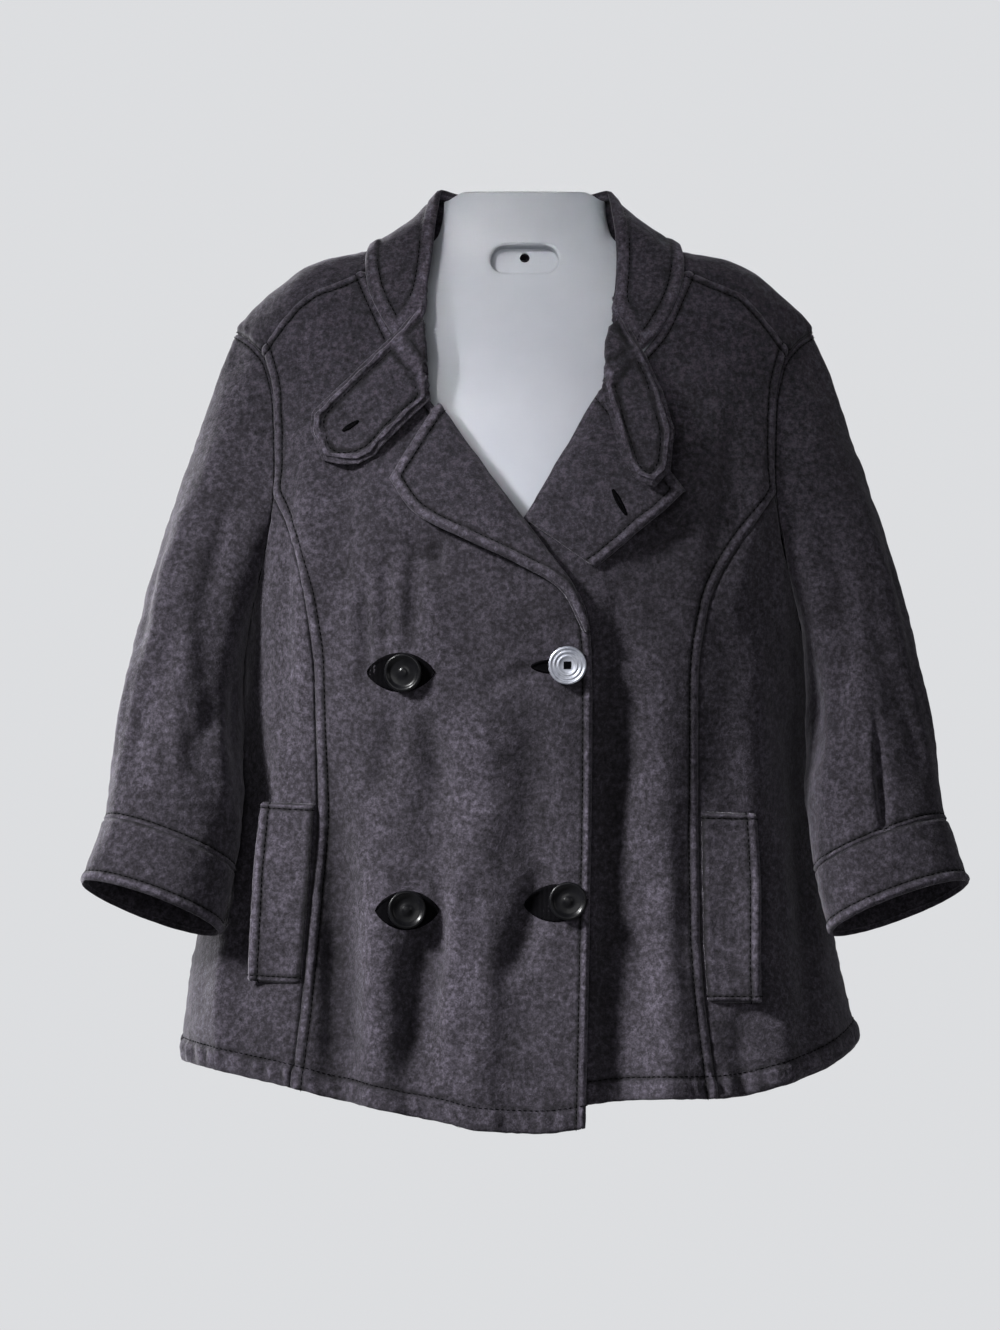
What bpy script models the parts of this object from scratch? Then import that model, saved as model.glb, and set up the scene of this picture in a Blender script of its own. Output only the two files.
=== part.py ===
"""A charcoal double-breasted jacket on a hanging half-torso form.

The origin is the upper edge of the form's hanging slot. +X is to the right of someone who
faces the jacket, -Y is towards them and +Z is up. Tables are in millimetres.
"""

import math
from collections import namedtuple

import bmesh
import bpy
from mathutils import Vector

MM = 0.001

# Driving dimensions, in millimetres
CLOTH = 2.0  # thickness of the fleece
SEAM_GAP = 0.3  # between two pieces that are sewn together
ARMHOLE_GAP = 0.3  # between an armhole's edge and the sleeve's head
UNDERLAP = 5.0  # how far the covered front lies behind the one that covers it
UNDERLAP_BLEND = (62.0, 104.0)  # from here to here the covered front comes level again
SIDE_SEAM_Y = 10.0
BACK_Y = 40.0
FRONT_ROUNDING = 2.4  # power of the section's front curve
BACK_ROUNDING = 6.0  # power of the section's flat back curve
SHOULDER_ROLL = 50.0  # height of the rounding over the shoulder
ARMPIT_Z = -286.0
SHOULDER_TIP_Z = -58.0
RING = 24  # points round a sleeve and its armhole
ARMPIT_EASE = 1.2  # more room between the sleeve and the side front under the arm
BACK_COLUMNS = 20
ROLL_ROWS = 5  # rows of the back that go over the shoulder
COLUMN_SPREAD = 0.958  # brings one of the back's columns to the neck's corner

BUTTON_RADIUS = 13.0
BUTTON_RIM = 2.4
BUTTON_THICK = 4.0
BUTTON_LIFT = 1.6  # height of the button over the cloth
BUTTON_SHANK = 3.0  # radius of the sewn shank under it

FORM_WALL = 2.4
FORM_ROUNDING = 2.2
SLOT_LENGTH = 46.0
SLOT_HEIGHT = 20.0
SLOT_DEPTH = 8.0
SLOT_Y = -3.6  # the neck's surface at the slot's upper edge
NECK_LEAN = 16.0  # degrees by which the neck's front leans back at the slot
NAIL_HOLE = 7.0

Level = namedtuple("Level", "height left right front")
# Half widths of the jacket and the front's place, from the hem up
BODY = (
    Level(-660, 240, 241, -103),
    Level(-606, 239, 237, -101),
    Level(-556, 237, 232, -97),
    Level(-519, 233, 223, -94),
    Level(-475, 226, 213, -92),
    Level(-380, 207, 200, -92),
    Level(-320, 198, 197, -98),
    Level(-250, 196, 196, -101),
    Level(-190, 198, 198, -91),
    Level(-130, 200, 200, -69),
    Level(-70, 203, 203, -44),
    Level(-20, 205, 205, -27),
    Level(30, 206, 206, -20),
)

Ridge = namedtuple("Ridge", "across height")
# The line along the top of the shoulder
SHOULDER = (
    Ridge(0, -2),
    Ridge(100, -2),
    Ridge(120, -6),
    Ridge(140, -10),
    Ridge(157, -18),
    Ridge(173, -31),
    Ridge(188, -45),
    Ridge(200, -58),
    Ridge(210, -72),
)

Turn = namedtuple("Turn", "across degrees")
# How far round the shoulder the back goes at the neck, up to the shoulder's seam
NECK = (Turn(0, 64), Turn(60, 68), Turn(95, 76), Turn(104, 90), Turn(110, 128))

Scoop = namedtuple("Scoop", "height front back")
# How far out the armhole's edge lies, on the front and on the back
ARMHOLE = (
    Scoop(-300, 197.0, 197.0),
    Scoop(-286, 196.6, 196.6),
    Scoop(-276, 194, 195),
    Scoop(-245, 187, 190),
    Scoop(-204, 178, 184),
    Scoop(-156, 172, 182),
    Scoop(-110, 173, 186),
    Scoop(-80, 179, 192),
    Scoop(-66, 189, 197),
    Scoop(-58, 200, 200),
)

Fold = namedtuple("Fold", "x_top z_top x_low z_low width depth")
# The largest folds of the front: soft ridges, and troughs with a depth under nought
FRONT_FOLDS = (
    Fold(-118, -380, -128, -640, 13, -6.5),
    Fold(-92, -330, -98, -640, 17, 5.0),
    Fold(-60, -430, -66, -560, 9, -3.5),
    Fold(-30, -300, -36, -640, 22, 3.5),
    Fold(14, -400, 2, -520, 10, -3.0),
    Fold(-128, -120, -132, -300, 12, -3.0),
    Fold(86, -380, 66, -640, 15, -5.0),
    Fold(100, -420, 104, -640, 14, 4.0),
    Fold(160, -300, 168, -640, 18, 5.0),
    Fold(140, -110, 146, -230, 12, -3.0),
)
BACK_FOLDS = (
    Fold(-120, -260, -140, -640, 24, 5.0),
    Fold(-62, -330, -70, -640, 18, -4.0),
    Fold(8, -300, 4, -640, 26, 4.5),
    Fold(70, -340, 78, -640, 18, -4.0),
    Fold(128, -260, 146, -640, 24, 5.0),
)

Point = namedtuple("Point", "x z")
RIGHT_HEM = (Point(-240, -560), Point(-160, -576), Point(-99, -590), Point(-58, -598),
             Point(-31, -604), Point(10, -606), Point(44, -602))
LEFT_HEM = (Point(-60, -588), Point(44, -586), Point(79, -583), Point(133, -583),
            Point(188, -572), Point(215, -561), Point(240, -546))
BACK_HEM = (Point(-240, -556), Point(-120, -552), Point(0, -550), Point(120, -549),
            Point(240, -545))
# Front edges, from the hem up to the shoulder seam
RIGHT_EDGE = (Point(41, -602), Point(44, -450), Point(45.5, -330), Point(45, -276),
              Point(40, -246), Point(22, -219), Point(-1, -189), Point(-33, -147),
              Point(-65, -108), Point(-80, -84), Point(-91, -62), Point(-103, -36),
              Point(-111, -19))
LEFT_EDGE = (Point(-50, -588), Point(-52, -450), Point(-52, -330), Point(-48, -276),
             Point(-38, -246), Point(-23, -219), Point(-2, -189), Point(26, -142),
             Point(53, -99), Point(74, -82), Point(91, -62), Point(103, -36),
             Point(111, -19))
# Princess seams, from the hem up to the armhole
RIGHT_PRINCESS = (Point(-160, -576), Point(-153, -518), Point(-147, -450), Point(-143, -382),
                  Point(-143, -300), Point(-147, -255), Point(-156, -215), Point(-173, -172))
LEFT_PRINCESS = (Point(132, -583), Point(124, -525), Point(120, -470), Point(119, -382),
                 Point(119, -300), Point(126, -252), Point(142, -215), Point(173, -172))
SHOULDER_SEAM = (Point(111, -17), Point(133, -26), Point(149, -33), Point(163, -46),
                 Point(176, -63), Point(183, -73.3))

SleeveRow = namedtuple("SleeveRow", "along outer_x outer_z inner_x inner_z y half_depth tilt")
# The sleeve's outline, from the armhole down to the cuff's seam
SLEEVE = (
    SleeveRow(0.00, 200, -58, 197, -286, 6, 40, 0),
    SleeveRow(0.12, 214, -94, 202, -300, 2, 40, 1),
    SleeveRow(0.25, 230, -144, 202, -314, -5, 41, 3),
    SleeveRow(0.40, 247, -198, 200, -332, -16, 41, 5),
    SleeveRow(0.55, 261, -246, 200, -353, -26, 39, 6),
    SleeveRow(0.70, 272, -298, 202, -378, -35, 36, 7),
    SleeveRow(0.85, 280, -350, 205, -403, -42, 33, 8),
    SleeveRow(1.00, 287, -394, 208.5, -426, -47, 31, 9),
)
CUFF = (
    SleeveRow(0.0, 288.5, -394.5, 209, -427, -47.5, 32.5, 9),
    SleeveRow(0.5, 295.5, -416, 208.5, -449, -49.5, 32.5, 9.5),
    SleeveRow(1.0, 303, -438, 208, -472, -51, 32, 10),
)
SleeveFold = namedtuple("SleeveFold", "turn along lean width length depth")
# Folds of a sleeve: turn is degrees round it from its outer edge, towards the front
SLEEVE_FOLDS = (
    SleeveFold(62, 0.62, -14, 13, 0.34, -5.0),
    SleeveFold(98, 0.45, 18, 15, 0.30, -4.5),
    SleeveFold(128, 0.70, 10, 14, 0.24, 4.0),
    SleeveFold(36, 0.30, -8, 16, 0.30, 3.0),
    SleeveFold(228, 0.50, 14, 16, 0.32, -4.5),
    SleeveFold(286, 0.62, -12, 15, 0.30, -4.0),
)

CollarRow = namedtuple("CollarRow", "seam_x seam_y seam_z mid_x mid_y mid_z edge_x edge_y edge_z")
# The collar's sections, from one tab's tip round the back of the neck to the other's
COLLAR = (
    CollarRow(-113, -60.5, -152, -126, -60, -152, -138, -57, -149),
    CollarRow(-102, -62, -146, -125, -60, -138, -146, -52, -128),
    CollarRow(-97, -62, -140, -122, -58.5, -130, -145, -49, -117),
    CollarRow(-82, -61, -125, -103, -58, -111, -122, -47, -95),
    CollarRow(-64, -59, -108, -83, -57, -91, -99, -45, -73),
    CollarRow(-73, -49, -87, -69, -54, -72, -81, -42, -55),
    CollarRow(-92, -40, -61, -73, -42, -51, -69, -31, -37),
    CollarRow(-108, -22, -27, -83, -20, -17, -63.5, -15, -7),
    CollarRow(-110, -10, -10.5, -85, -7, 4, -62, -5, 14),
    CollarRow(-107, 8, -0.8, -83, 8, 15, -60, 7, 29),
    CollarRow(-96, 17.5, -1.2, -76, 20, 18, -58.5, 18, 36),
    CollarRow(-55, 21, -4.8, -49, 24, 16, -42, 24, 35),
    CollarRow(0, 23, -6.2, 0, 26.5, 14, 0, 27, 32),
    CollarRow(55, 21, -4.8, 49, 24, 16, 42, 24, 35),
    CollarRow(96, 17.5, -1.2, 76, 20, 18, 58.5, 18, 36),
    CollarRow(107, 8, -0.8, 83, 8, 15, 60, 7, 29),
    CollarRow(110, -10, -10.5, 85, -7, 4, 62, -5, 14),
    CollarRow(108, -22, -27, 83, -20, -17, 63, -15, -7),
    CollarRow(92, -40, -61, 68, -42, -51, 61, -32, -38),
    CollarRow(69, -49, -87, 60, -56, -73, 72, -45, -59),
    CollarRow(58, -60, -102, 69, -62, -92, 84, -53, -81),
    CollarRow(60, -65, -118, 76, -65, -110, 93, -59, -102),
    CollarRow(63, -71, -138, 82, -69, -134, 101, -64, -130),
    CollarRow(68, -75, -152, 84, -74, -155, 98, -70, -157),
    CollarRow(74, -77, -162, 81, -76.5, -166, 88, -75, -168),
)

# The lapels' roll lines and outer edges, from the gorge down to the break
RIGHT_ROLL = (Point(-59, -110), Point(-32, -148), Point(-1, -190), Point(22, -220),
              Point(42, -254))
RIGHT_LAPEL = (Point(-93, -166), Point(-74, -187), Point(-40, -205), Point(-3, -223),
               Point(38, -256))
LEFT_ROLL = (Point(52, -101), Point(39, -121), Point(26, -142), Point(12, -166),
             Point(0, -188))
LEFT_LAPEL = (Point(107, -172), Point(93, -185), Point(77, -198), Point(62, -211),
              Point(48, -222))

ButtonRow = namedtuple("ButtonRow", "name x z finish")
BUTTONS = (
    ButtonRow("button_upper_outer", -82, -294, "button_black"),
    ButtonRow("button_upper_edge", 28.5, -289, "button_silver"),
    ButtonRow("button_lower_outer", -80.5, -455, "button_black"),
    ButtonRow("button_lower_edge", 29, -449, "button_black"),
)

Welt = namedtuple("Welt", "name side top low width gape")
POCKETS = (
    Welt("pocket_welt_right", -1, -384, -506, 33, 7.0),
    Welt("pocket_welt_left", 1, -389, -518, 34, 8.0),
)

FormRow = namedtuple("FormRow", "height half_width front edge")
# The form's sections, from the neck's rim down to the waist's cut
FORM = (
    FormRow(35, 55.5, 0.5, 16),
    FormRow(20, 56.5, -0.5, 15),
    FormRow(8, 59, -2.0, 13),
    FormRow(0, 66, -3.5, 12),
    FormRow(-10, 80, -6, 10),
    FormRow(-20, 104, -10, 8),
    FormRow(-21.5, 126, -11, 8.5),
    FormRow(-23.5, 145, -12.5, 9),
    FormRow(-25.7, 158, -14, 9.5),
    FormRow(-29.9, 165.5, -16, 10),
    FormRow(-39.5, 170, -21, 12.5),
    FormRow(-54, 172, -28, 16),
    FormRow(-74, 174, -37, 19),
    FormRow(-100, 174, -48, 21),
    FormRow(-140, 168, -62, 23),
    FormRow(-190, 163, -77, 24),
    FormRow(-250, 160, -88, 24),
    FormRow(-310, 156, -86, 24),
    FormRow(-370, 150, -79, 24),
    FormRow(-430, 148, -76, 24),
    FormRow(-490, 154, -78, 24),
)


def smooth(rows, key, at, column):
    """One column of a table, read at a value of its key column along a smooth curve."""
    rows = sorted(rows, key=lambda row: getattr(row, key))
    keys = [getattr(row, key) for row in rows]
    values = [getattr(row, column) for row in rows]
    at = min(max(at, keys[0]), keys[-1])
    low = max(i for i in range(len(keys) - 1) if keys[i] <= at)
    slopes = [(values[i + 1] - values[i]) / (keys[i + 1] - keys[i]) for i in range(len(keys) - 1)]

    def tangent(i):
        if i in (0, len(keys) - 1):
            return slopes[min(i, len(slopes) - 1)]
        if slopes[i - 1] * slopes[i] <= 0:
            return 0.0
        return 2 * slopes[i - 1] * slopes[i] / (slopes[i - 1] + slopes[i])

    span = keys[low + 1] - keys[low]
    t = (at - keys[low]) / span
    return (values[low] * (1 + 2 * t) * (1 - t) ** 2 + values[low + 1] * t * t * (3 - 2 * t)
            + span * (tangent(low) * t * (1 - t) ** 2 - tangent(low + 1) * t * t * (1 - t)))


def along(points, share):
    """The place at a share of a curve's length through a few points."""
    runs = [0.0]
    for a, b in zip(points, points[1:]):
        runs.append(runs[-1] + math.dist(a, b))
    fields = points[0]._fields
    stations = namedtuple("Station", ("run",) + fields)
    rows = [stations(run / runs[-1], *point) for run, point in zip(runs, points)]
    return [smooth(rows, "run", share, field) for field in fields]


def ease(low, high, value):
    """Nought before low and one after high, with a smooth step between."""
    t = min(max((value - low) / (high - low), 0.0), 1.0)
    return t * t * (3 - 2 * t)


def half_width(z, side):
    return smooth(BODY, "height", z, "right" if side > 0 else "left")


def ridge_height(x):
    return smooth(SHOULDER, "across", abs(x), "height")


def folds_at(table, x, z):
    """How far the largest folds lift the cloth at a place."""
    lift = 0.0
    for fold in table:
        t = (fold.z_top - z) / (fold.z_top - fold.z_low)
        if 0 < t < 1.2:
            middle = fold.x_top + t * (fold.x_low - fold.x_top)
            strength = ease(0, 0.45, t) * (1 if fold.z_low < -600 else 1 - ease(0.6, 1, t))
            lift += fold.depth * strength * math.exp(-((x - middle) / fold.width) ** 2)
    return lift


def section_y(x, z):
    """The front's and the back's depth at a place, before the shoulder closes them."""
    reach = half_width(z, x)
    share = min(abs(x) / reach, 1.0)
    front = smooth(BODY, "height", z, "front")
    rounded = math.sqrt(1 - share ** FRONT_ROUNDING)
    flat = math.sqrt(1 - share ** BACK_ROUNDING)
    front_y = SIDE_SEAM_Y - (SIDE_SEAM_Y - front) * rounded - folds_at(FRONT_FOLDS, x, z) * rounded
    back_y = SIDE_SEAM_Y + (BACK_Y - SIDE_SEAM_Y) * flat - 6 * flat * ease(-120, -320, z)
    return front_y, back_y + min(folds_at(BACK_FOLDS, x, z), 5.5) * flat


def body_y(x, z, back=False):
    """The jacket's depth at a place, with the front and back closing over the shoulder."""
    front_y, back_y = section_y(x, z)
    rise = min(max((z - ridge_height(x) + SHOULDER_ROLL) / SHOULDER_ROLL, 0.0), 1.0)
    middle, reach = (front_y + back_y) / 2, (back_y - front_y) / 2
    reach *= math.sqrt(1 - rise * rise)
    return middle + reach if back else middle - reach


def turn_of(x, z):
    """The angle round the section's front at which a place lies."""
    share = min(abs(x) / half_width(z, x), 1.0)
    return math.copysign(math.asin(share ** (FRONT_ROUNDING / 2)), x)


def across_of(turn, z):
    return math.copysign(half_width(z, turn) * math.sin(abs(turn)) ** (2 / FRONT_ROUNDING), turn)


def at_side_seam(x, z):
    return abs(x) > half_width(z, x) - 0.01


def front_place(x, z, lift=0.0):
    """A point of the front, moved out by a lift."""
    step = 1.0
    slope_x = (body_y(x + step, z) - body_y(x - step, z)) / (2 * step)
    slope_z = (body_y(x, z + step) - body_y(x, z - step)) / (2 * step)
    out = Vector((slope_x, -1.0, slope_z)).normalized()
    if at_side_seam(x, z):
        return Vector((x + math.copysign(lift, x), SIDE_SEAM_Y - SEAM_GAP / 2, z))
    return Vector((x, body_y(x, z), z)) + out * lift


def collection_of(name):
    made = bpy.data.collections.new(name)
    bpy.context.scene.collection.children.link(made)
    return made


def finish(name, colour, roughness, metallic=0.0):
    """A plain surface finish."""
    material = bpy.data.materials.new(name)
    material.use_nodes = True
    shader = material.node_tree.nodes["Principled BSDF"]
    shader.inputs["Base Color"].default_value = (*colour, 1)
    shader.inputs["Roughness"].default_value = roughness
    shader.inputs["Metallic"].default_value = metallic
    material.diffuse_color = (*colour, 1)
    return material


def grid_surface(name, rows):
    """An open surface through rows of points, in millimetres."""
    shape = bmesh.new()
    lines = [[shape.verts.new(Vector(point) * MM) for point in row] for row in rows]
    for low, high in zip(lines, lines[1:]):
        for j in range(len(low) - 1):
            shape.faces.new((low[j], low[j + 1], high[j + 1], high[j]))
    mesh = bpy.data.meshes.new(name)
    shape.to_mesh(mesh)
    shape.free()
    mesh.shade_smooth()
    return mesh


def cloth(name, rows, group, material, thickness=CLOTH):
    """A wall of cloth: a surface through rows of points, thickened inwards."""
    made = bpy.data.objects.new(name, grid_surface(name, rows))
    made.data.materials.append(material)
    wall = made.modifiers.new("Wall", "SOLIDIFY")
    wall.thickness = thickness * MM
    wall.offset = -1.0
    wall.use_even_offset = False
    wall.use_quality_normals = True
    group.objects.link(made)
    return made


def loft(name, outer, inner, group, material, closed=False):
    """A wall of cloth between an outer and an inner surface with the same rows."""
    shape = bmesh.new()
    faces = [[[shape.verts.new(Vector(point) * MM) for point in row] for row in side]
             for side in (outer, inner)]
    rows, count = len(outer), len(outer[0])
    steps = [(j, (j + 1) % count) for j in range(count if closed else count - 1)]
    for out, lines in zip((True, False), faces):
        for low, high in zip(lines, lines[1:]):
            for j, k in steps:
                corners = (low[j], low[k], high[k], high[j])
                shape.faces.new(corners if out else corners[::-1])
    front, back = faces
    for j, k in steps:
        shape.faces.new((front[0][k], front[0][j], back[0][j], back[0][k]))
        shape.faces.new((front[-1][j], front[-1][k], back[-1][k], back[-1][j]))
    if not closed:
        for i in range(rows - 1):
            shape.faces.new((front[i][0], front[i + 1][0], back[i + 1][0], back[i][0]))
            shape.faces.new((front[i + 1][-1], front[i][-1], back[i][-1], back[i + 1][-1]))
    mesh = bpy.data.meshes.new(name)
    shape.to_mesh(mesh)
    shape.free()
    mesh.shade_smooth()
    made = bpy.data.objects.new(name, mesh)
    made.data.materials.append(material)
    group.objects.link(made)
    return made


def spaced(points, count):
    """A curve's points, read again at even steps."""
    return [Point(*along(points, i / count)) for i in range(count + 1)]


def patch(low, high, inner, outer, place):
    """Points of a panel between a hem, a top and two side curves, all in the front's plane."""
    def flat(point):
        return Vector((turn_of(point.x, point.z), point.z))

    low, high, inner, outer = ([flat(p) for p in curve] for curve in (low, high, inner, outer))
    rows, columns = len(inner) - 1, len(low) - 1
    grid = []
    for i in range(rows + 1):
        t = i / rows
        line = []
        for j in range(columns + 1):
            s = j / columns
            at = (inner[i] * (1 - s) + outer[i] * s + low[j] * (1 - t) + high[j] * t
                  - (low[0] * (1 - s) + low[-1] * s) * (1 - t)
                  - (high[0] * (1 - s) + high[-1] * s) * t)
            line.append(place(across_of(at.x, at.y), at.y))
        grid.append(line)
    return grid


def inset(points, by):
    """A rising curve moved sideways in the front's plane."""
    moved = []
    for i, p in enumerate(points):
        low, high = points[max(i - 1, 0)], points[min(i + 1, len(points) - 1)]
        run = math.dist(low, high)
        moved.append(Point(p.x + (high.z - low.z) / run * by, p.z - (high.x - low.x) / run * by))
    return moved


def hem_between(table, x_from, x_to, steps=8):
    """The stretch of a hem between two places."""
    xs = [x_from + (x_to - x_from) * i / steps for i in range(steps + 1)]
    return [Point(x, smooth(table, "x", x, "z")) for x in xs]


def ring_height(k):
    """The height of a point of the armhole, counted round it from the shoulder's tip."""
    middle, reach = (SHOULDER_TIP_Z + ARMPIT_Z) / 2, (SHOULDER_TIP_Z - ARMPIT_Z) / 2
    return middle + reach * math.cos(2 * math.pi * k / RING)


def armhole_edge(side, first, last, gap):
    """Points of an armhole's front edge, from one of its places to another."""
    step = 1 if last > first else -1
    heights = [ring_height(k) for k in range(first, last + step, step)]
    return [Point(side * (smooth(ARMHOLE, "height", z, "front") - gap), z) for z in heights]


def mirrored(points):
    return [Point(-p.x, p.z) for p in points]


def under(x, z):
    """How far the covered front is pushed back."""
    return -UNDERLAP * (1 - ease(*UNDERLAP_BLEND, x)) * (1 - ease(-130, -90, z))


def front_panels(group, material, seam_rows=14, columns=12):
    """The two centre fronts and the two side fronts, which share their princess seams' points."""
    half, quarter = SEAM_GAP / 2, RING // 4
    for side, edge, princess, hem in ((-1, RIGHT_EDGE, RIGHT_PRINCESS, RIGHT_HEM),
                                      (1, LEFT_EDGE, LEFT_PRINCESS, LEFT_HEM)):
        word = "right" if side < 0 else "left"
        seam = spaced(princess, seam_rows)
        shoulder = shoulder_chords(columns)
        if side < 0:
            shoulder = mirrored(shoulder)

        def place(x, z, lift=0.0, side=side):
            return front_place(x, z, lift + (under(x, z) if side > 0 else 0.0))

        outer = inset(seam[:-1], -side * half) + armhole_edge(side, quarter, 2, half)
        low = hem_between(hem, edge[0].x, outer[0].x, columns)
        inner = spaced(edge, len(outer) - 1)
        top = [Point(p.x, p.z - SEAM_GAP) for p in shoulder]
        inner[0], inner[-1], outer[0], outer[-1] = low[0], top[0], low[-1], top[-1]
        walls = [patch(low, top, inner, outer, lambda x, z: place(x, z, -depth))
                 for depth in (0.0, CLOTH)]
        add_panel(f"front_{word}", walls, side, group, material)

        inner = inset(seam, side * half)
        top = armhole_edge(side, quarter, RING // 2, half)
        foot = hem[-1].z if side > 0 else hem[0].z
        low = hem_between(hem, inner[0].x, side * half_width(foot, side), len(top) - 1)
        rise = ARMPIT_Z - 1.2 - low[-1].z
        heights = [low[-1].z + rise * i / seam_rows for i in range(seam_rows + 1)]
        outer = [Point(side * half_width(z, side), z) for z in heights]
        inner[0], top[0] = low[0], inner[-1]
        low[-1], top[-1] = outer[0], outer[-1]
        walls = [patch(low, top, inner, outer, lambda x, z: front_place(x, z, -depth))
                 for depth in (0.0, CLOTH)]
        add_panel(f"side_front_{word}", walls, side, group, material)


def add_panel(name, walls, side, group, material):
    """A front panel from its two surfaces, turned so that its faces point out."""
    if side < 0:
        walls = [[line[::-1] for line in wall] for wall in walls]
    loft(name, *walls, group, material)


def column_across(j):
    """How far across the back one of its columns lies, as a share of its half width."""
    share = 2 * j / BACK_COLUMNS - 1
    return math.copysign(math.sin(math.pi / 2 * abs(share) ** COLUMN_SPREAD), share)


def shoulder_chords(count):
    """The shoulder's seam through the back's own columns, at even steps along its chords."""
    edge = smooth(ARMHOLE, "height", ring_height(2), "front") - SEAM_GAP
    spots = [column_across(j) * edge for j in range(BACK_COLUMNS + 1)]
    spots = [SHOULDER_SEAM[0].x] + [x for x in spots if x > SHOULDER_SEAM[0].x + 1]
    chords = [Point(x, smooth(SHOULDER_SEAM, "x", x, "z")) for x in spots]
    points = []
    for i in range(count + 1):
        at = i / count * (len(chords) - 1)
        k = min(int(at), len(chords) - 2)
        points.append(Point(*Vector(chords[k]).lerp(Vector(chords[k + 1]), at - k)))
    return points


def roll_run(x, z, on_back):
    """The run up the back from the foot of the shoulder's rounding, and on over it."""
    rise = (z - ridge_height(x) + SHOULDER_ROLL) / SHOULDER_ROLL
    if rise <= 0:
        return rise * SHOULDER_ROLL
    turn = math.asin(min(rise, 1.0))
    return SHOULDER_ROLL * (turn if on_back else math.pi - turn)


def back_top(x):
    """The run at which the back ends, at the neck or at the shoulder's seam."""
    across = abs(x)
    neck = smooth(NECK, "across", across, "degrees")
    if across < NECK[-1].across:
        return SHOULDER_ROLL * math.radians(neck)
    return roll_run(x, smooth(SHOULDER_SEAM, "x", across, "z") + SEAM_GAP, False)


def back_point(x, run):
    """A point of the back at a run up it and over the shoulder."""
    base = ridge_height(x) - SHOULDER_ROLL
    z = base + (run if run < 0 else SHOULDER_ROLL * math.sin(run / SHOULDER_ROLL))
    return Vector((x, body_y(x, z, back=run < SHOULDER_ROLL * math.pi / 2), z))


def back_place(x, run, lift):
    """A point of the back, moved out by a lift."""
    step = 0.5
    across = back_point(x + step, run) - back_point(x - step, run)
    up = back_point(x, run + step) - back_point(x, run - step)
    place = back_point(x, run)
    if at_side_seam(x, place.z) and place.z < ARMPIT_Z - 1:
        return Vector((x + math.copysign(lift, x), SIDE_SEAM_Y + SEAM_GAP / 2, place.z))
    return place + up.cross(across).normalized() * lift


def back_edge(side, low_rows):
    """The back's side edge: how far out, at what height, and whether still behind the ridge."""
    foot = smooth(BACK_HEM, "x", side * 236, "z")
    edge = []
    for i in range(low_rows):
        z = foot + (ARMPIT_Z - foot) * i / low_rows
        edge.append((side * half_width(z, side), z, True))
    for k in range(RING // 2, -3, -1):
        z, column = ring_height(k), "back" if k >= 0 else "front"
        edge.append((side * (smooth(ARMHOLE, "height", z, column) - SEAM_GAP), z, k >= 0))
    return edge


def back_panel(group, material, low_rows=6):
    """The back, from the hem up, over the shoulders to the seams on the front."""
    edges = [back_edge(side, low_rows) for side in (-1, 1)]
    rows = len(edges[0]) - 1
    flat_rows = rows - ROLL_ROWS
    walls = [[], []]
    for i in range(rows + 1):
        lines = [[], []]
        for j in range(BACK_COLUMNS, -1, -1):
            across = column_across(j)
            edge_x, edge_z, behind = edges[across > 0][i]
            x = abs(across) * edge_x
            edge_run = roll_run(edge_x, edge_z, behind)
            hold = (2 * j / BACK_COLUMNS - 1) ** 2
            if i <= flat_rows:
                edge_foot = roll_run(edge_x, smooth(BACK_HEM, "x", edge_x, "z"), True)
                share = (1 - i / flat_rows) * (1 - hold) + edge_run / edge_foot * hold
                run = roll_run(x, smooth(BACK_HEM, "x", x, "z"), True) * share
            else:
                share = (i - flat_rows) / (rows - flat_rows) * (1 - hold)
                run = back_top(x) * (share + edge_run / back_top(edge_x) * hold)
            if i == rows:
                run = back_top(x)
            elif j in (0, BACK_COLUMNS):
                run = edge_run
            lines[0].append(back_place(x, run, 0.0))
            lines[1].append(back_place(x, run, -CLOTH))
        for wall, line in zip(walls, lines):
            wall.append(line)
    loft("back", *walls, group, material)


def sleeve_ring(table, share, side, armhole=False):
    """One ring of a sleeve or cuff, at a share of its length."""
    at = {field: smooth(table, "along", share, field) for field in SleeveRow._fields}
    outer = Vector((at["outer_x"], at["y"], at["outer_z"]))
    inner = Vector((at["inner_x"], at["y"], at["inner_z"]))
    ring = []
    for k in range(RING):
        turn = 2 * math.pi * k / RING
        c, s = math.cos(turn), math.sin(turn)
        point = (outer + inner) / 2 + (outer - inner) / 2 * c
        point += Vector((0.0, -s * at["half_depth"], s * at["tilt"]))
        if armhole:
            hold = 1 - ease(0, 0.5, share)
            point += (armhole_place(k) - flat_head(c, s)) * hold
            lift = sum(f.depth * math.exp(-(turn_gap(turn, f, share) / f.width) ** 2
                                          - ((share - f.along) / f.length * 2) ** 2)
                       for f in SLEEVE_FOLDS) * ease(0.05, 0.25, share) * (1 - ease(0.85, 1, share))
            point += Vector((c * 0.8, -s, 0.0)).normalized() * lift
        ring.append(Vector((side * point.x, point.y, point.z)))
    return ring


def turn_gap(turn, fold, share):
    """Degrees round the sleeve between a place and a leaning fold."""
    middle = fold.turn + fold.lean * (share - fold.along) * 4
    return (math.degrees(turn) - middle + 180) % 360 - 180


def armhole_place(k):
    """A point of the sleeve's head, just outside the armhole's edge."""
    z, on_back = ring_height(k), k > RING // 2
    x = smooth(ARMHOLE, "height", z, "back" if on_back else "front")
    gap = ARMHOLE_GAP + ARMPIT_EASE * max(-math.cos(2 * math.pi * k / RING), 0.0) ** 4
    return Vector((x + gap, body_y(x - SEAM_GAP, z, back=on_back), z))


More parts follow.
